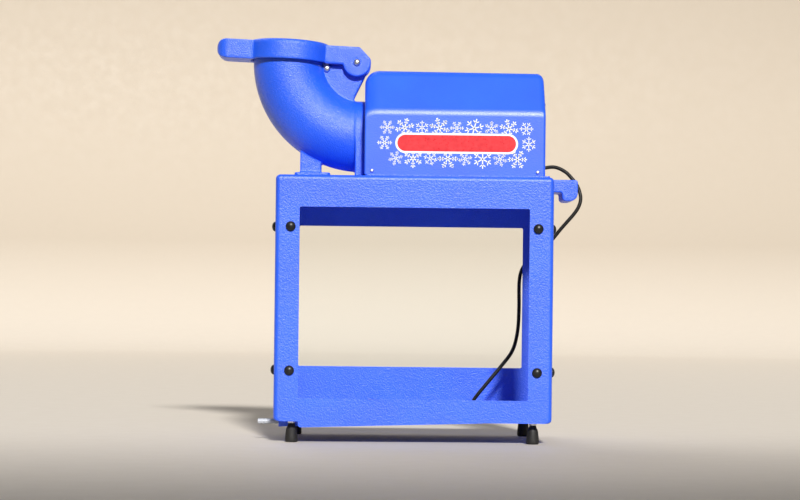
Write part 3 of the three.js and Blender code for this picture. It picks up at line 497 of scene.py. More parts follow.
def block(name, x0, x1, y0, y1, z0, z1):
    return prism(name, [(x0, y0), (x1, y0), (x1, y1), (x0, y1)], "z", z0, z1)


def loft(name, rings):
    """A closed skin over rings of points that have the same count, with its ends capped."""
    size = len(rings[0])
    last = size * (len(rings) - 1)
    points = [p for one in rings for p in one]
    faces = []
    for low in range(0, last, size):
        high = low + size
        for i in range(size):
            j = (i + 1) % size
            faces.append((low + i, low + j, high + j, high + i))
    faces += [tuple(range(size)), tuple(range(last, last + size))]
    return mesh_from(name, points, faces)


def turned(name, profile, place, direction, sides=48):
    """A turned piece: (radius, height) points about a line through place along direction.

    The profile starts and ends on the line, at radius 0.
    """
    turn = Vector((0, 0, 1)).rotation_difference(Vector(direction).normalized()).to_matrix()

    def spot(radius, height, angle):
        local = Vector((radius * math.cos(angle), radius * math.sin(angle), height))
        return tuple(Vector(place) + turn @ local)

    angles = [2 * math.pi * k / sides for k in range(sides)]
    points = [spot(0, profile[0][1], 0), spot(0, profile[-1][1], 0)]
    for radius, height in profile[1:-1]:
        points += [spot(radius, height, angle) for angle in angles]
    faces = []
    last = 2 + sides * (len(profile) - 3)
    for i in range(sides):
        j = (i + 1) % sides
        faces.append((0, 2 + i, 2 + j))
        faces.append((1, last + j, last + i))
        for base in range(2, last, sides):
            faces.append((base + i, base + sides + i, base + sides + j, base + j))
    return mesh_from(name, points, faces)


# ---------------------------------------------------------------- power cord
# The route of part.mjs, in metres about the cabinet's centre line.
LEAD = [
    (0.225, 0.1613, 0.542), (0.225, 0.171, 0.542), (0.2274, 0.1829, 0.543),
    (0.2341, 0.1929, 0.545), (0.2441, 0.1996, 0.548), (0.256, 0.202, 0.5508),
    (0.2753, 0.2015, 0.5545), (0.3003, 0.199, 0.5565), (0.3212, 0.195, 0.547),
    (0.3357, 0.1905, 0.5323), (0.3459, 0.186, 0.5175), (0.3518, 0.182, 0.5006),
    (0.3527, 0.1795, 0.488), (0.3483, 0.177, 0.473), (0.3389, 0.176, 0.4583),
    (0.3244, 0.175, 0.4414), (0.31, 0.175, 0.4246), (0.2956, 0.175, 0.4065),
    (0.279, 0.175, 0.3885), (0.261, 0.1753, 0.373), (0.247, 0.1753, 0.3615),
    (0.236, 0.1743, 0.3495), (0.2285, 0.1685, 0.334), (0.225, 0.158, 0.314),
    (0.224, 0.146, 0.29), (0.2235, 0.133, 0.262), (0.2195, 0.11, 0.213),
    (0.2079, 0.087, 0.1741), (0.1831, 0.066, 0.1415), (0.1525, 0.046, 0.106),
    (0.131, 0.03, 0.0805), (0.1195, 0.0155, 0.064), (0.1106, 0.0, 0.0548),
]
TAIL = [
    (0.0096, 0.04, 0.0535), (0.0118, 0.0518, 0.053), (0.0094, 0.064, 0.0526),
    (0.0024, 0.0744, 0.0524), (-0.008, 0.0814, 0.0524), (-0.0202, 0.0838, 0.0524),
    (-0.033, 0.0838, 0.0524), (-0.046, 0.0838, 0.0524),
]


def coil_points():
    """The coil's turns: two on the floor from the outside in, then two on top and out again."""
    low = FLOOR_TOP + LAY_GAP + CORD_RADIUS
    across, along = LEAD[-1][0] / MM - COIL_X, LEAD[-1][1] / MM - COIL_Y
    start, entry = math.atan2(along, across), math.hypot(along, across)
    entry_height = 2.7
    change = 110  # degrees over which the cord goes from one turn to the next
    drop_start, drop_span, drop_reach = 1190, 70, 8.25
    points = []
    for turned_by in range(10, 1260, 10):
        lap, into = divmod(turned_by, 360)
        t = min(into / change, 1.0)
        ease = t * t * (3 - 2 * t)
        first = (entry + (COIL_OUTER - entry) * ease, low + entry_height * (1 - ease))
        second = (COIL_OUTER + (COIL_INNER - COIL_OUTER) * ease, low)
        lift = math.pi * (1 - ease / 2)
        third = (second[0] + CORD_PITCH * math.cos(lift), low + CORD_PITCH * math.sin(lift))
        over = math.pi / 2 * (1 - ease)
        fourth = (third[0] + CORD_PITCH * math.cos(over), third[1] + CORD_PITCH * math.sin(over))
        radius, z = (first, second, third, fourth)[lap]
        if turned_by > drop_start:
            drop = math.radians(90 - 80 * (turned_by - drop_start) / drop_span)
            radius = COIL_OUTER + drop_reach * math.cos(drop)
            z = low + drop_reach * math.sin(drop)
        angle = start - math.radians(turned_by)
        x, y = COIL_X + radius * math.cos(angle), COIL_Y + radius * math.sin(angle)
        points.append((x * MM, y * MM, z * MM))
    return points


def smooth_line(points, per_span=6):
    """A centripetal Catmull-Rom line through the points."""
    line = []
    padded = [2 * points[0] - points[1], *points, 2 * points[-1] - points[-2]]
    for p0, p1, p2, p3 in zip(padded, padded[1:], padded[2:], padded[3:]):
        t1 = (p1 - p0).length ** 0.5
        t2 = t1 + (p2 - p1).length ** 0.5
        t3 = t2 + (p3 - p2).length ** 0.5
        for k in range(per_span):
            t = t1 + (t2 - t1) * k / per_span
            a1 = p0.lerp(p1, t / t1)
            a2 = p1.lerp(p2, (t - t1) / (t2 - t1))
            a3 = p2.lerp(p3, (t - t2) / (t3 - t2))
            b1 = a1.lerp(a2, t / t2)
            b2 = a2.lerp(a3, (t - t1) / (t3 - t1))
            line.append(b1.lerp(b2, (t - t1) / (t2 - t1)))
    return [*line, points[-1]]


def make_plug():
    """A moulded mains plug with a tapered grip, its two flat blades and round earth pin."""
    _, y, _ = middle("plug")
    z = FLOOR_TOP + LAY_GAP + 12
    back = design("plug")[1].x
    sections = [
        (0, 6.0, 5.0, 4.8, -7.4),
        (-4, 7.2, 6.0, 5.4, -5.6),
        (-8, 9.5, 8.5, 7.0, -3.0),
        (-13, 12.2, 11.3, 7.5, -0.4),
        (-34, 12.9, 11.9, 7.0, 0.0),
        (-39.4, 12.9, 11.9, 7.0, 0.0),
        (-40, 12.3, 11.3, 6.6, 0.0),
    ]
    rings = []
    for dx, half_y, half_z, corner, drop in sections:
        radius = min(corner, half_y - 0.2, half_z - 0.2)
        mid_z = z + drop
        outline = rectangle(y - half_y, y + half_y, mid_z - half_z, mid_z + half_z, radius, 5)
        rings.append([(back + dx, u, v) for u, v in outline])
    body = shade(loft("plug_body", rings), 50)
    blades = []
    for side in (-6.3, 6.3):
        outline = rectangle(back - 56, back - 39, y + side - 0.8, y + side + 0.8, 0.3, 2)
        blades.append(prism(f"plug_blade_{'ab'[side > 0]}", outline, "z", z - 2, z + 4.3))
    pin = turned(
        "plug_earth_pin",
        [(0, 0), (1.4, 0), (2.3, 2), (2.4, 5), (2.4, 20), (0, 20)],
        (back - 59, y, z - 7.5),
        (1, 0, 0),
        24,
    )
    place_piece(body, "cabinet", BLACK_RUBBER, "cord_jacket", "plug")
    for blade in [*blades, pin]:
        shade(blade)
        place_piece(blade, "cabinet", BRIGHT_STEEL, "bright_steel")
    return [body, *blades, pin]


def make_strain_relief():
    """A tapered moulded sleeve with flex ribs, behind a round flange."""
    x, _, z = middle("strain_relief")
    face = HOOD_HIGH.y
    length = design("strain_relief")[1].y - face
    profile = [(0, 0.3), (10.2, 0.3), (11, 1.0), (11, 3.2), (10.2, 4.2), (8.8, 4.8)]
    ribs = 6
    start, end = 6.0, length - 3.0
    pitch = (end - start) / ribs
    for i in range(ribs):
        height = start + i * pitch
        outer = 8.8 + (CORD_RADIUS + 1.8 - 8.8) * i / ribs
        profile += [
            (outer - 1.1, height),
            (outer - 0.2, height + 0.25 * pitch),
            (outer, height + 0.45 * pitch),
            (outer - 0.2, height + 0.65 * pitch),
            (outer - 1.1, height + 0.9 * pitch),
        ]
    profile += [(CORD_RADIUS + 1.2, end), (CORD_RADIUS + 0.9, length - 0.4), (0, length)]
    sleeve = turned("strain_relief_sleeve", profile, (x, face, z), (0, 1, 0), 32)
    place_piece(shade(sleeve, 60), "cabinet", BLACK_RUBBER, "cord_jacket", "strain_relief")
    return sleeve


def make_cord():
    route = [ORIGIN + Vector(p) for p in [*LEAD, *coil_points(), *TAIL]]
    line = smooth_line(route)
    data = bpy.data.curves.new("power_cord", "CURVE")
    data.dimensions = "3D"
    data.bevel_depth = CORD_RADIUS * MM
    data.bevel_resolution = 5
    data.use_fill_caps = True
    spline = data.splines.new("POLY")
    spline.points.add(len(line) - 1)
    for point, place in zip(spline.points, line):
        point.co = (*place, 1.0)
    spline.use_smooth = True
    cord = new_object("power_cord", data)
    relief = make_strain_relief()
    plug = make_plug()
    place_piece(cord, "cabinet", CORD_JACKET, "cord_jacket", "cord_lead", "cord_tail", "cord_coil")


make_cord()


# ---------------------------------------------------------------- cabinet
def wrapped_panel(name, face_y, inward, opening, lower=()):
    """A panel whose sides and top roll back round the cabinet's corners, with its opening.

    lower is the outline of what hangs below its bottom edge, from left to right.
    """
    depth = 20.0
    foot = 8.0
    low_z = CABINET_BOTTOM + foot
    path = [(x, z, -1.0, 0.0) for x, z in arc(foot - HALF_WIDTH, low_z, foot, 270, 180, 6)]
    for start, end, cx in ((180, 90, CORNER - HALF_WIDTH), (90, 0, HALF_WIDTH - CORNER)):
        for x, z in arc(cx, CABINET_TOP - CORNER, CORNER, start, end, 10):
            path.append((x, z, (x - cx) / CORNER, (z - CABINET_TOP + CORNER) / CORNER))
    path += [(x, z, 1.0, 0.0) for x, z in arc(HALF_WIDTH - foot, low_z, foot, 0, -90, 6)]

    roll = [(CORNER * (1 - math.sin(a)), CORNER * (1 - math.cos(a))) for a in (
        math.radians(9 * k) for k in range(11)
    )]
    roll.append((0.0, depth))
    work = bmesh.new()
    rows = []
    for inset, back in roll:
        rows.append([
            work.verts.new(at(x - nx * inset, face_y + inward * back, z - nz * inset))
            for x, z, nx, nz in path
        ])
    for first, second in zip(rows, rows[1:]):
        for i in range(len(path) - 1):
            work.faces.new((first[i], first[i + 1], second[i + 1], second[i]))
    bmesh.ops.remove_doubles(work, verts=work.verts, dist=1e-6)

    # The flat of the panel lies between the roll's first row, its bottom edge and the opening.
    corner = at(0, face_y, CABINET_BOTTOM)
    flat = {v for v in work.verts if abs(v.co.y - corner.y) < 1e-6}
    flat_edges = [e for e in work.edges if e.is_boundary and flat.issuperset(e.verts)]
    ends = sorted((v for v in flat if abs(v.co.z - corner.z) < 1e-6), key=lambda v: v.co.x)
    hanging = [work.verts.new(at(x, face_y, z)) for x, z in lower]
    edge = [ends[0], *hanging, ends[-1]]
    flat_edges += [work.edges.new(pair) for pair in zip(edge, edge[1:])]
    half, bottom, top = opening
    loop = [work.verts.new(at(x, face_y, z)) for x, z in rectangle(-half, half, bottom, top, 3.0)]
    flat_edges += [work.edges.new((loop[i - 1], loop[i])) for i in range(len(loop))]
    bmesh.ops.triangle_fill(work, use_beauty=True, edges=flat_edges)
    bmesh.ops.recalc_face_normals(work, faces=work.faces)
    panel = object_from(name, work)
    outward = sum(f.normal.y * f.area for f in panel.data.polygons) * -inward > 0
    thicken(panel, SHEET, -1.0 if outward else 1.0)
    return shade(soft_edges(panel, 0.45, 2, 60), 30)


def make_cabinet():
    front = wrapped_panel("cabinet_front", -HALF_DEPTH, 1, FRONT_OPENING, APRON)
    place_piece(front, "cabinet", SHEET_BLUE, "painted_sheet", "front_panel")
    rear = wrapped_panel("cabinet_rear", HALF_DEPTH, -1, REAR_OPENING)
    place_piece(rear, "cabinet", SHEET_BLUE, "painted_sheet", "rear_panel")

    edge = 8.0
    outer = [
        (-HALF_WIDTH, DECK_LOW.z, 0),
        (-HALF_WIDTH, CABINET_TOP, edge),
        (HALF_WIDTH, CABINET_TOP, edge),
        (HALF_WIDTH, DECK_LOW.z, 0),
        (HALF_WIDTH - SHEET, DECK_LOW.z, 0),
        (HALF_WIDTH - SHEET, CABINET_TOP - SHEET, edge - SHEET),
        (SHEET - HALF_WIDTH, CABINET_TOP - SHEET, edge - SHEET),
        (SHEET - HALF_WIDTH, DECK_LOW.z, 0),
    ]
    deck = prism("cabinet_deck", rounded(outer), "y", DECK_LOW.y, DECK_HIGH.y)
    low, high = CHUTE
    hole = block("hole", low.x, high.x, low.y, high.y, CABINET_TOP - 10, CABINET_TOP + 5)
    cut_solids(deck, hole)
    place_piece(shade(deck, 30), "cabinet", SHEET_BLUE, "painted_sheet", "top_deck")

    half, bottom, top = SIDE_OPENING
    for side in ("left", "right"):
        low, high = design(f"{side}_panel")
        _, centre, _ = middle(f"{side}_panel")
        outline = rectangle(low.y, high.y, low.z, high.z, 0)
        window = rectangle(centre - half, centre + half, bottom, top, 3.0)
        wall = prism(f"cabinet_{side}", outline, "x", low.x, high.x, [window])
        wall = shade(soft_edges(wall, 0.4, 2, 60), 30)
        place_piece(wall, "cabinet", SHEET_BLUE, "painted_sheet", f"{side}_panel")


# ---------------------------------------------------------------- fasteners and feet
def make_window_fasteners():
    """Black domed heads on a thin flange, with a shank through the panel and window."""
    dome = [(9.75 * math.cos(a), 1.3 + 6.3 * math.sin(a)) for a in (
        math.radians(6 + 84 * k / 9) for k in range(9)
    )]
    profile = [(0, -12), (3, -12), (3, 0.2), (8.8, 0.2), (9.6, 0.5), *dome, (0, 7.6)]
    for name in [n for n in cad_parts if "_fastener_" in n]:
        x, y, z = middle(name)
        if name.startswith("front"):
            place, direction = (x, -HALF_DEPTH, z), (0, -1, 0)
        else:
            side = -1 if name.startswith("left") else 1
            place, direction = (side * HALF_WIDTH, y, z), (side, 0, 0)
        knob = shade(turned(f"{name}_head", profile, place, direction, 40), 50)
        place_piece(knob, "cabinet", BLACK_PLASTIC, "black_plastic", name)


def make_feet():
    rubber = [
        (0, 0), (10.4, 0), (11.6, 0.6), (12.3, 2.2), (12.6, 5.0), (12.5, 8.0), (11.7, 16),
        (10.8, 24), (9.9, 27.5), (8.2, 31), (7.2, 33.5), (6.8, 35.6), (6.2, 36.5), (0, 36.5),
    ]
    for name in [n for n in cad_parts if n.startswith("foot_")]:
        place_name = name.removeprefix("foot_")
        body = f"levelling_foot_{place_name}"
        low, high = design(name)
        x, y, _ = middle(name)
        pad = shade(turned(f"{name}_rubber", rubber, (x, y, low.z), (0, 0, 1), 40), 40)
        place_piece(pad, body, BLACK_RUBBER, "black_rubber", name)

        _, stud_top = design(f"stud_{place_name}")
        stud = threaded_stud(f"stud_{place_name}_thread", x, y, high.z + 0.3, stud_top.z)
        place_piece(stud, body, BRIGHT_STEEL, "bright_steel", f"stud_{place_name}")
        nut = hex_nut(f"stud_{place_name}_nut", x, y, high.z + 0.4, high.z + 5.4, 6.5, 4.1)
        place_piece(nut, body, BRIGHT_STEEL, "bright_steel")


def threaded_stud(name, x, y, low, high):
    profile = [(0, low), (3.3, low)]
    height = low + 0.6
    while height < high - 1.2:
        profile += [(3.4, height), (4.0, height + 0.55)]
        height += 1.25
    profile += [(3.3, high - 0.5), (0, high)]
    return shade(turned(name, profile, (x, y, 0), (0, 0, 1), 24), 50)


def hex_nut(name, x, y, low, high, half_flats, bore):
    corners = arc(x, y, half_flats / math.cos(math.pi / 6), 0, 300, 5)
    nut = prism(name, corners, "z", low, high, [ring(x, y, bore, 24)])
    return shade(soft_edges(nut, 0.5, 2, 40), 30)


# ---------------------------------------------------------------- side handle
def make_side_handle():
    low, high = design("side_handle")
    hook = low.x + 20.7
    neck = high.z - 25
    corners = [
        (low.x, neck, 0),
        (hook, neck, 4),
        (hook, low.z, 8),
        (high.x, low.z, 16),
        (high.x, high.z, 5),
        (low.x, high.z, 0),
    ]
    grip = prism("side_handle_grip", rounded(corners, 6), "y", low.y, high.y)
    soften(grip, 1.2, 9)
    place_piece(shade(grip, 60), "cabinet", CAST_BLUE, "painted_casting", "side_handle")


# ---------------------------------------------------------------- feed elbow
def bend_bar(name, radius, sides=64, steps=40):
    rings = []
    for k in range(steps + 1):
        angle = math.pi / 2 * k / steps
        outward = Vector((-math.cos(angle), 0, -math.sin(angle)))
        centre = Vector((BEND_X, 0, BEND_Z)) + outward * BEND_RADIUS
        rings.append([
            tuple(centre + outward * radius * math.cos(a) + Vector((0, radius * math.sin(a), 0)))
            for a in (2 * math.pi * i / sides for i in range(sides))
        ])
    return loft(name, rings)


def rod(name, axis, radius, low, high, u, v, sides=64):
    return prism(name, ring(u, v, radius, sides), axis, low, high)


def make_elbow():
    deck = CABINET_TOP + 0.3
    body = bend_bar("feed_elbow_casting", ELBOW_RADIUS)
    neck = rod("neck", "z", ELBOW_RADIUS, BEND_Z - 1, MOUTH_TOP, MOUTH_X, 0)
    half = ELBOW_RADIUS + 2
    arch = [(-half, deck), (half, deck), *arc(0, AXIS_Z, half, 0, 180, 32)]
    flange = prism("flange", arch, "x", BEND_X - 14, BEND_X + 4.8)
    leg = prism("leg", rectangle(-227, -185, deck + 4, 580, 0), "y", -25, 25)
    foot = prism("foot", rectangle(-238, -167, -40, 40, 8), "z", deck, deck + 11)
    web = prism(
        "web",
        [
            (-190, WEB_TOP),
            (-205, 690),
            (-118, 655),
            (-121, 677),
            (PIN_X + 17, PIN_Z - 25),
            *arc(PIN_X, PIN_Z, 20, -45, 180, 16),
            (PIN_X - 24, WEB_TOP),
        ],
        "y",
        -WEB_HALF,
        WEB_HALF,
    )
    join_solids(body, neck, flange, leg, foot, web)
    cut_solids(
        body,
        bend_bar("bore", ELBOW_BORE),
        rod("mouth_bore", "z", ELBOW_BORE, BEND_Z - 2, MOUTH_TOP + 5, MOUTH_X, 0),
        rod("outlet_bore", "x", ELBOW_BORE, BEND_X - 6, BEND_X + 9, 0, AXIS_Z),
        rod("pin_bore", "y", PIN_BORE, -60, 60, PIN_X, PIN_Z, 32),
    )
    soften(body, 1.7, 7)
    nodes = ("feed_elbow", "hinge_web")
    place_piece(shade(body, 80), "cabinet", CAST_BLUE, "painted_casting", *nodes)

    pan = [
        (0, -10), (3, -10), (3, 0.2), (6.7, 0.2), (7, 0.8), (6.9, 2.6), (6.2, 4.2),
        (4.8, 5.4), (2.8, 6.1), (0, 6.3),
    ]
    x, _, z = middle("stop_screw")
    screw = shade(turned("stop_screw_head", pan, (x, -WEB_HALF, z), (0, -1, 0), 32), 50)
    place_piece(screw, "cabinet", BRIGHT_STEEL, "bright_steel", "stop_screw")


# ---------------------------------------------------------------- lever lid
def tilted(obj):
    """Turns a piece of the lid about the pin by the angle at which the lid rests."""
    pin = Matrix.Translation(at(PIN_X, 0, PIN_Z))
    obj.data.transform(pin @ Matrix.Rotation(LID_TILT, 4, "Y") @ pin.inverted())
    return obj


def make_lid():
    cap_radius, cap_low, cap_high = 81.0, 743.0, 783.0
    cap = turned(
        "lid_casting",
        [
            (0, cap_low),
            (cap_radius, cap_low),
            (cap_radius, cap_high - 7),
            (cap_radius - 1.6, cap_high - 3),
            (cap_radius - 6, cap_high - 0.6),
            (cap_radius - 16, cap_high + 0.8),
            (cap_radius - 45, cap_high + 2.2),
            (0, cap_high + 3),
        ],
        (MOUTH_X, 0, 0),
        (0, 0, 1),
        96,
    )
    tip, root, half = -396.0, MOUTH_X - 60, 42
    side_view = rounded([(tip, 742, 18), (root, 742, 0), (root, 780, 0), (tip, 780, 17)], 10)
    top_view = rounded([(tip, -half, 24), (root, -half, 0), (root, half, 0), (tip, half, 24)], 10)
    paddle = common_solid(
        prism("paddle", side_view, "y", -half, half), prism("paddle_plan", top_view, "z", 740, 785)
    )
    start = MOUTH_X + 75
    arm = [
        (start, 742),
        (PIN_X - 26, 742),
        *arc(PIN_X, PIN_Z, 28, 195, 380, 32),
        (PIN_X + 4, 778),
        (start, 778),
    ]
    ears = [prism(f"ear_{i}", arm, "y", low, low + 15) for i, low in enumerate((-35, 20))]
    bridge = block("bridge", start, -164, -35, 35, 752, 778)
    join_solids(cap, paddle, *ears, bridge)
    soften(cap, 1.5, 0)
    cut_solids(
        cap,
        rod("recess", "z", 76, cap_low - 8, 770, MOUTH_X, 0, 96),
        rod("pin_bore", "y", PIN_BORE, -60, 60, PIN_X, PIN_Z, 32),
    )
    soften(cap, 1.5, 8)
    place_piece(tilted(shade(cap, 80)), "lid", CAST_BLUE, "painted_casting", "lid")


def make_hinge_pin():
    """A pin with a domed head at the front and a rounded head at the rear."""
    profile = [(0, -41), (3.2, -40.6), (5.6, -39.4), (7, -37.2), (7, -35.4), (5, -35.4), (5, 35.4),
               (6.6, 35.4), (6.8, 38.5), (5.4, 40.2), (0, 40.6)]
    pin = shade(turned("hinge_pin_body", profile, (PIN_X, 0, PIN_Z), (0, 1, 0), 40), 40)
    place_piece(pin, "cabinet", BRIGHT_STEEL, "bright_steel", "hinge_pin")


# ---------------------------------------------------------------- hood
def hood_section(side_inset, top_inset, steps=8):
    """The hood's outline across its length, drawn in by an inset at the sides and at the top."""
    half = HOOD_HIGH.y - side_inset
    top = HOOD_HIGH.z - top_inset
    shoulder = HOOD_HIGH.y - HOOD_SHOULDER - 0.4 * top_inset
    bend = HOOD_BEND_Z - 0.25 * top_inset
    low = HOOD_LOW.z
    corners = [
        (-half, low, 0),
        (half, low, 0),
        (half, bend, HOOD_BEND_RADIUS),
        (shoulder, top, 30),
        (-shoulder, top, 30),
        (-half, bend, HOOD_BEND_RADIUS),
    ]
    return rounded(corners, steps)


def inset_of(distance, radius):
    """How far a rounded end of that radius is drawn in, at a distance from the end."""
    if distance >= radius:
        return 0.0
    return radius - math.sqrt(radius * radius - (radius - distance) ** 2)


def hood_rings():
    left, right = HOOD_LOW.x, HOOD_HIGH.x
    rings = []
    marks = [0.0, 0.15, 0.6, 1.3, 2.3, 3.6, 5.0, 7.0, 9.5, 12.5, 16.0, 20.0, 24.0, 28.0]
    for mark in marks:
        rings.append((left + mark, inset_of(mark, 2.5), inset_of(mark, 28.0)))
    for mark in reversed(marks[:10]):
        lean = 3.0 * (1 - mark / 30)
        rings.append((right - mark, inset_of(mark, 5.0), inset_of(mark, 13.0) + lean))
    return rings


def make_hood():
    rings = [
        [(x, y, z) for y, z in hood_section(side, top)] for x, side, top in hood_rings()
    ]
    hood = loft("hood_shell", rings)
    work = bmesh.new()
    work.from_mesh(hood.data)
    floor = at(0, 0, HOOD_LOW.z).z + 1e-5
    under = [f for f in work.faces if all(v.co.z < floor for v in f.verts)]
    bmesh.ops.delete(work, geom=under, context="FACES")
    work.to_mesh(hood.data)
    work.free()
    thicken(hood, SHEET, -1.0)
    place_piece(shade(hood, 35), "cabinet", HOOD_BLUE, "painted_sheet", "hood")


def make_base_plate():
    outline = rectangle(BASE_LOW.x, BASE_HIGH.x, BASE_LOW.y, BASE_HIGH.y, 5)
    low, high = CHUTE
    hole = rectangle(low.x - 0.3, high.x + 0.3, low.y - 0.3, high.y + 0.3, 0)
    plate = prism("base_plate_sheet", outline, "z", BASE_LOW.z, BASE_HIGH.z, [hole])
    plate = shade(soft_edges(plate, 0.8, 3, 60), 30)
    place_piece(plate, "cabinet", SHEET_BLUE, "painted_sheet", "base_plate")


def make_louvres():
    """Pressed louvres on the hood's right end, each over a thin black strip that paints the shade
    inside its vent opening.
    """
    lowest, pitch, bend = 600.0, 16.0, 660.0
    for i in range(5):
        z = lowest + pitch * i
        rings = []
        for k in range(13):
            across = -1 + 2 * k / 12
            swell = math.sqrt(max(0.0, 1 - abs(across) ** 6))
            y = 58 * across
            x = HOOD_HIGH.x - 0.5 - (max(0.0, z - bend) / 30) * 0.6
            rings.append([
                (x + out * swell, y, z + up)
                for out, up in ((0.2, 11), (2.6, 10), (5.2, 7), (6.4, 3.4), (6.3, 0.4), (5.2, 0.2),
                                (4.4, 3.4), (2.2, 7.2), (0.1, 9.4))
            ])
        louvre = shade(loft(f"hood_louvre_{i + 1}", rings), 50)
        place_piece(louvre, "cabinet", HOOD_BLUE, "painted_sheet")
        # Painted shade: a thin black strip on the uncut hood end stands for the dark inside seen
        # through the vent opening.
        slot = prism(f"hood_vent_shade_{i + 1}", rectangle(-55, 55, z, z + 5, 2), "x", x + 0.3, x + 0.75)
        place_piece(shade(slot, 40), "cabinet", BLACK_PLASTIC, "black_plastic")


def make_hood_screws():
    profile = [
        (0, -8), (2, -8), (2, 0.2), (3.8, 0.2), (4.0, 0.7), (3.7, 1.5), (2.8, 2.2),
        (1.4, 2.55), (0, 2.6),
    ]
    for side in ("left", "right"):
        x, _, z = middle(f"hood_screw_{side}")
        y = HOOD_LOW.y
        head = turned(f"hood_screw_{side}_head", profile, (x, y, z), (0, -1, 0), 28)
        cut_solids(head, block("slot", x - 3, x + 3, y - 4, y - 1.5, z - 0.45, z + 0.45))
        place_piece(shade(head, 40), "cabinet", BRIGHT_STEEL, "bright_steel", f"hood_screw_{side}")


# ---------------------------------------------------------------- printed graphic on the hood
FILM = 0.25  # how far the film stands off the hood
FILM_THICKNESS = 0.12
FILM_STEP = 0.2  # from one film to the next over it


def hood_face_y(z):
    """The hood's front face at a height: flat, then following the start of its bend."""
    reach = 13.5  # from the bend's corner down to where it starts
    rise = min(max(0.0, z - HOOD_BEND_Z + reach), HOOD_BEND_RADIUS - 1)
    return HOOD_LOW.y + HOOD_BEND_RADIUS - math.sqrt(HOOD_BEND_RADIUS ** 2 - rise ** 2)


def film(name, shapes, material, slot, lift):
    """Flat shapes, each a convex list of (x, z), laid on the hood's front face."""
    points, faces = [], []
    for shape in shapes:
        base = len(points)
        points += [(x, hood_face_y(z) - lift, z) for x, z in shape]
        faces.append(tuple(range(base, base + len(shape))))
    mesh = bpy.data.meshes.new(name)
    mesh.from_pydata([at(*p) for p in points], [], faces)
    piece = new_object(name, mesh)
    thicken(piece, FILM_THICKNESS, 0.0)
    place_piece(piece, "cabinet", material, slot)


def stroke(x0, z0, x1, z1, width, steps=4):
    """A straight stroke with round ends, as a convex outline."""
    heading = math.degrees(math.atan2(z1 - z0, x1 - x0))
    return arc(x1, z1, width / 2, heading - 90, heading + 90, steps) + arc(
        x0, z0, width / 2, heading + 90, heading + 270, steps
    )


def snowflake(x, z, radius, turn, kind):
    """Six arms with barbs in one of three plain patterns."""
    strokes = []
    width = max(1.3, radius * 0.12)
    for k in range(6):
        a = math.radians(turn + 60 * k)
        dx, dz = math.cos(a), math.sin(a)
        strokes.append(stroke(x, z, x + dx * radius, z + dz * radius, width))
        barbs = ((0.45, 0.2), (0.72, 0.26)) if kind != 1 else ((0.6, 0.34),)
        for along, reach in barbs:
            px, pz = x + dx * radius * along, z + dz * radius * along
            for side in (-1, 1):
                b = a + side * math.radians(55)
                strokes.append(stroke(
                    px, pz, px + math.cos(b) * radius * reach, pz + math.sin(b) * radius * reach,
                    width * 0.85,
                ))
        if kind == 2:
            strokes.append(arc(x + dx * radius, z + dz * radius, width * 0.95, 0, 345, 23))
    return strokes


# A plain staggered field: centre across and up from the middle, radius and turn of each flake.
FLAKES = [(-141.0, 0.0, 14.0, 0.0), (141.0, 0.0, 14.0, 30.0)]
FLAKES += [(34.0 * k, 30.0, 13.0 + 5.0 * (k % 2), 15.0 * k) for k in range(-4, 5)]
FLAKES += [(34.0 * k - 17.0, -30.0, 18.0 - 5.0 * (k % 2), 15.0 * k) for k in range(-3, 5)]
GRAPHIC_X, GRAPHIC_Z = 81.0, 582.0


def make_graphic():
    flakes = []
    for i, (dx, dz, radius, turn) in enumerate(FLAKES):
        flakes += snowflake(GRAPHIC_X + dx, GRAPHIC_Z + dz, radius, turn, i % 3)
    film("graphic_snowflakes", flakes, FILM_WHITE, "decal_white", FILM)
    left, right = GRAPHIC_X - 100, GRAPHIC_X + 100
    border = stroke(left, GRAPHIC_Z, right, GRAPHIC_Z, 40, 24)
    bar = stroke(left, GRAPHIC_Z, right, GRAPHIC_Z, 32, 24)
    film("graphic_ribbon_border", [border], FILM_WHITE, "decal_white", FILM + FILM_STEP)
    film("graphic_ribbon", [bar], FILM_RED, "decal_red", FILM + 2 * FILM_STEP)


# ---------------------------------------------------------------- rear switch
def make_switch():
    x, _, z = middle("switch_body")
    face = HOOD_HIGH.y
    bezel = prism(
        "switch_bezel",
        rectangle(x - 14, x + 14, z - 19, z + 19, 2.5),
        "y",
        face + 0.3,
        face + 3,
        [rectangle(x - 8.2, x + 8.2, z - 13.2, z + 13.2, 0.8, 2)],
    )
    bezel = shade(soft_edges(bezel, 0.6, 3, 50), 30)
    place_piece(bezel, "cabinet", BLACK_PLASTIC, "black_plastic")


# ---------------------------------------------------------------- nodes kept as they are
KEPT_EDGE = 0.4  # width of the small bevel along their edges
KEPT = (
    (CLEAR_ACRYLIC, ("front_window", "left_window", "right_window")),
    (HOOD_BLUE, ("floor_pan",)),
    (SHEET_BLUE, ("drain_sump",)),
    (MILKY_VINYL, ("drain_spigot",)),
    (CAST_ALUMINIUM, ("ice_pusher", "shaver_housing")),
    (STAINLESS, ("cutter_disc", "blade_1", "blade_2", "blade_3", "ice_chute")),
    (BRIGHT_STEEL, ("motor_shaft", "front_bearing", "rear_bearing")),
    (MOTOR_ENAMEL, ("motor_case",)),
    (BLACK_PLASTIC, ("cooling_fan", "switch_body")),
    (RED_ROCKER, ("switch_rocker",)),
)


def finish_kept_nodes():
    for material, names in KEPT:
        for name in names:
            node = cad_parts[name]
            node.data.materials.clear()
            node.data.materials.append(material)
            shade(node, 30)
            bevel = node.modifiers.new("edge", "BEVEL")
            bevel.width = KEPT_EDGE * MM
            bevel.segments = 2
            bevel.limit_method = "ANGLE"
            bevel.angle_limit = math.radians(40)
            even_normals(node)


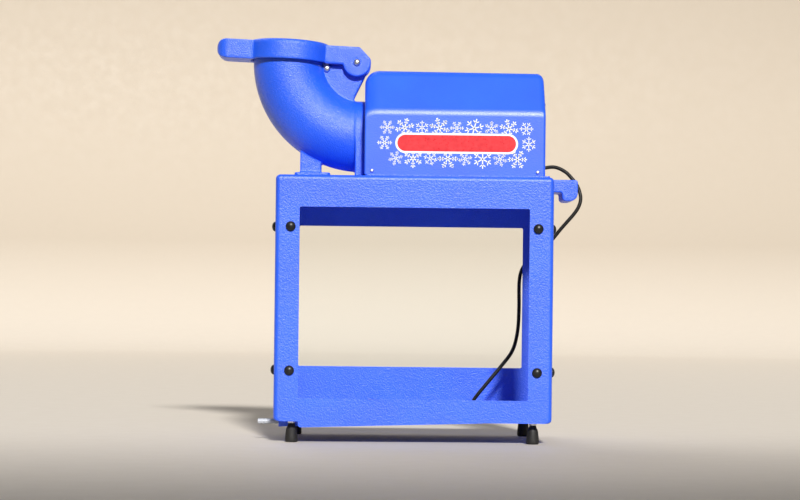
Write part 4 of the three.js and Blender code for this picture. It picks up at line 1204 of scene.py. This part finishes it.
# ---------------------------------------------------------------- floor and light
def make_stage():
    """A round studio cove: a pale floor that curves up into a pale wall all the way round."""
    reach, curve, top = 9.0, 2.0, 5.0
    profile = [(0.0, 0.0), (3.0, 0.0)]
    profile += [(reach - curve + x, curve + z) for x, z in arc(0, 0, curve, -90, 0, 12)]
    profile.append((reach, top))
    sides = 96
    points = [(0.0, 0.0, 0.0)]
    faces = []
    for radius, z in profile[1:]:
        points += [(radius * math.cos(a), radius * math.sin(a), z) for a in (
            2 * math.pi * k / sides for k in range(sides)
        )]
    for i in range(sides):
        j = (i + 1) % sides
        faces.append((0, 1 + i, 1 + j))
        for base in range(1, 1 + sides * (len(profile) - 2), sides):
            faces.append((base + i, base + sides + i, base + sides + j, base + j))
    mesh = bpy.data.meshes.new("studio_cove")
    mesh.from_pydata(points, [], faces)
    cove = new_object("studio_cove", mesh)
    mesh.shade_smooth()
    shader = Shader("studio_paper", (0.5, 0.43, 0.35), 0.7)
    height = shader.node("SeparateXYZ")
    shader.link(shader.place, height.inputs["Vector"])
    shader.colours(height.outputs["Z"], (0.66, 0.61, 0.54), (0.44, 0.385, 0.315), 0.0, 0.6)
    shader.rough(shader.noise(20.0), 0.62, 0.78)
    cove.data.materials.append(shader.material)

    world = bpy.data.worlds.new("studio")
    world.use_nodes = True
    sky = world.node_tree.nodes["Background"]
    sky.inputs["Color"].default_value = (0.9, 0.94, 1.0, 1.0)
    sky.inputs["Strength"].default_value = 0.14
    bpy.context.scene.world = world

    soft_sun("key", (0.14, -0.99, 0.61), 6.0, 4.8, (1.0, 0.975, 0.94))
    soft_sun("back", (-0.5, 0.8, 0.8), 40.0, 0.7, (0.95, 0.97, 1.0))


def soft_sun(name, source, spread, strength, colour):
    """Parallel light from a direction, whose shadows soften over a spread in degrees."""
    data = bpy.data.lights.new(name, "SUN")
    data.angle = math.radians(spread)
    data.energy = strength
    data.color = colour
    light = bpy.data.objects.new(name, data)
    bpy.context.scene.collection.objects.link(light)
    light.rotation_euler = (-Vector(source)).to_track_quat("-Z", "Y").to_euler()


# ---------------------------------------------------------------- assembly
make_cabinet()
make_window_fasteners()
make_feet()
make_side_handle()
make_elbow()
make_lid()
make_hinge_pin()
make_hood()
make_base_plate()
make_louvres()
make_hood_screws()
make_graphic()
make_switch()
finish_kept_nodes()
make_stage()

bpy.context.scene.view_settings.view_transform = "Standard"
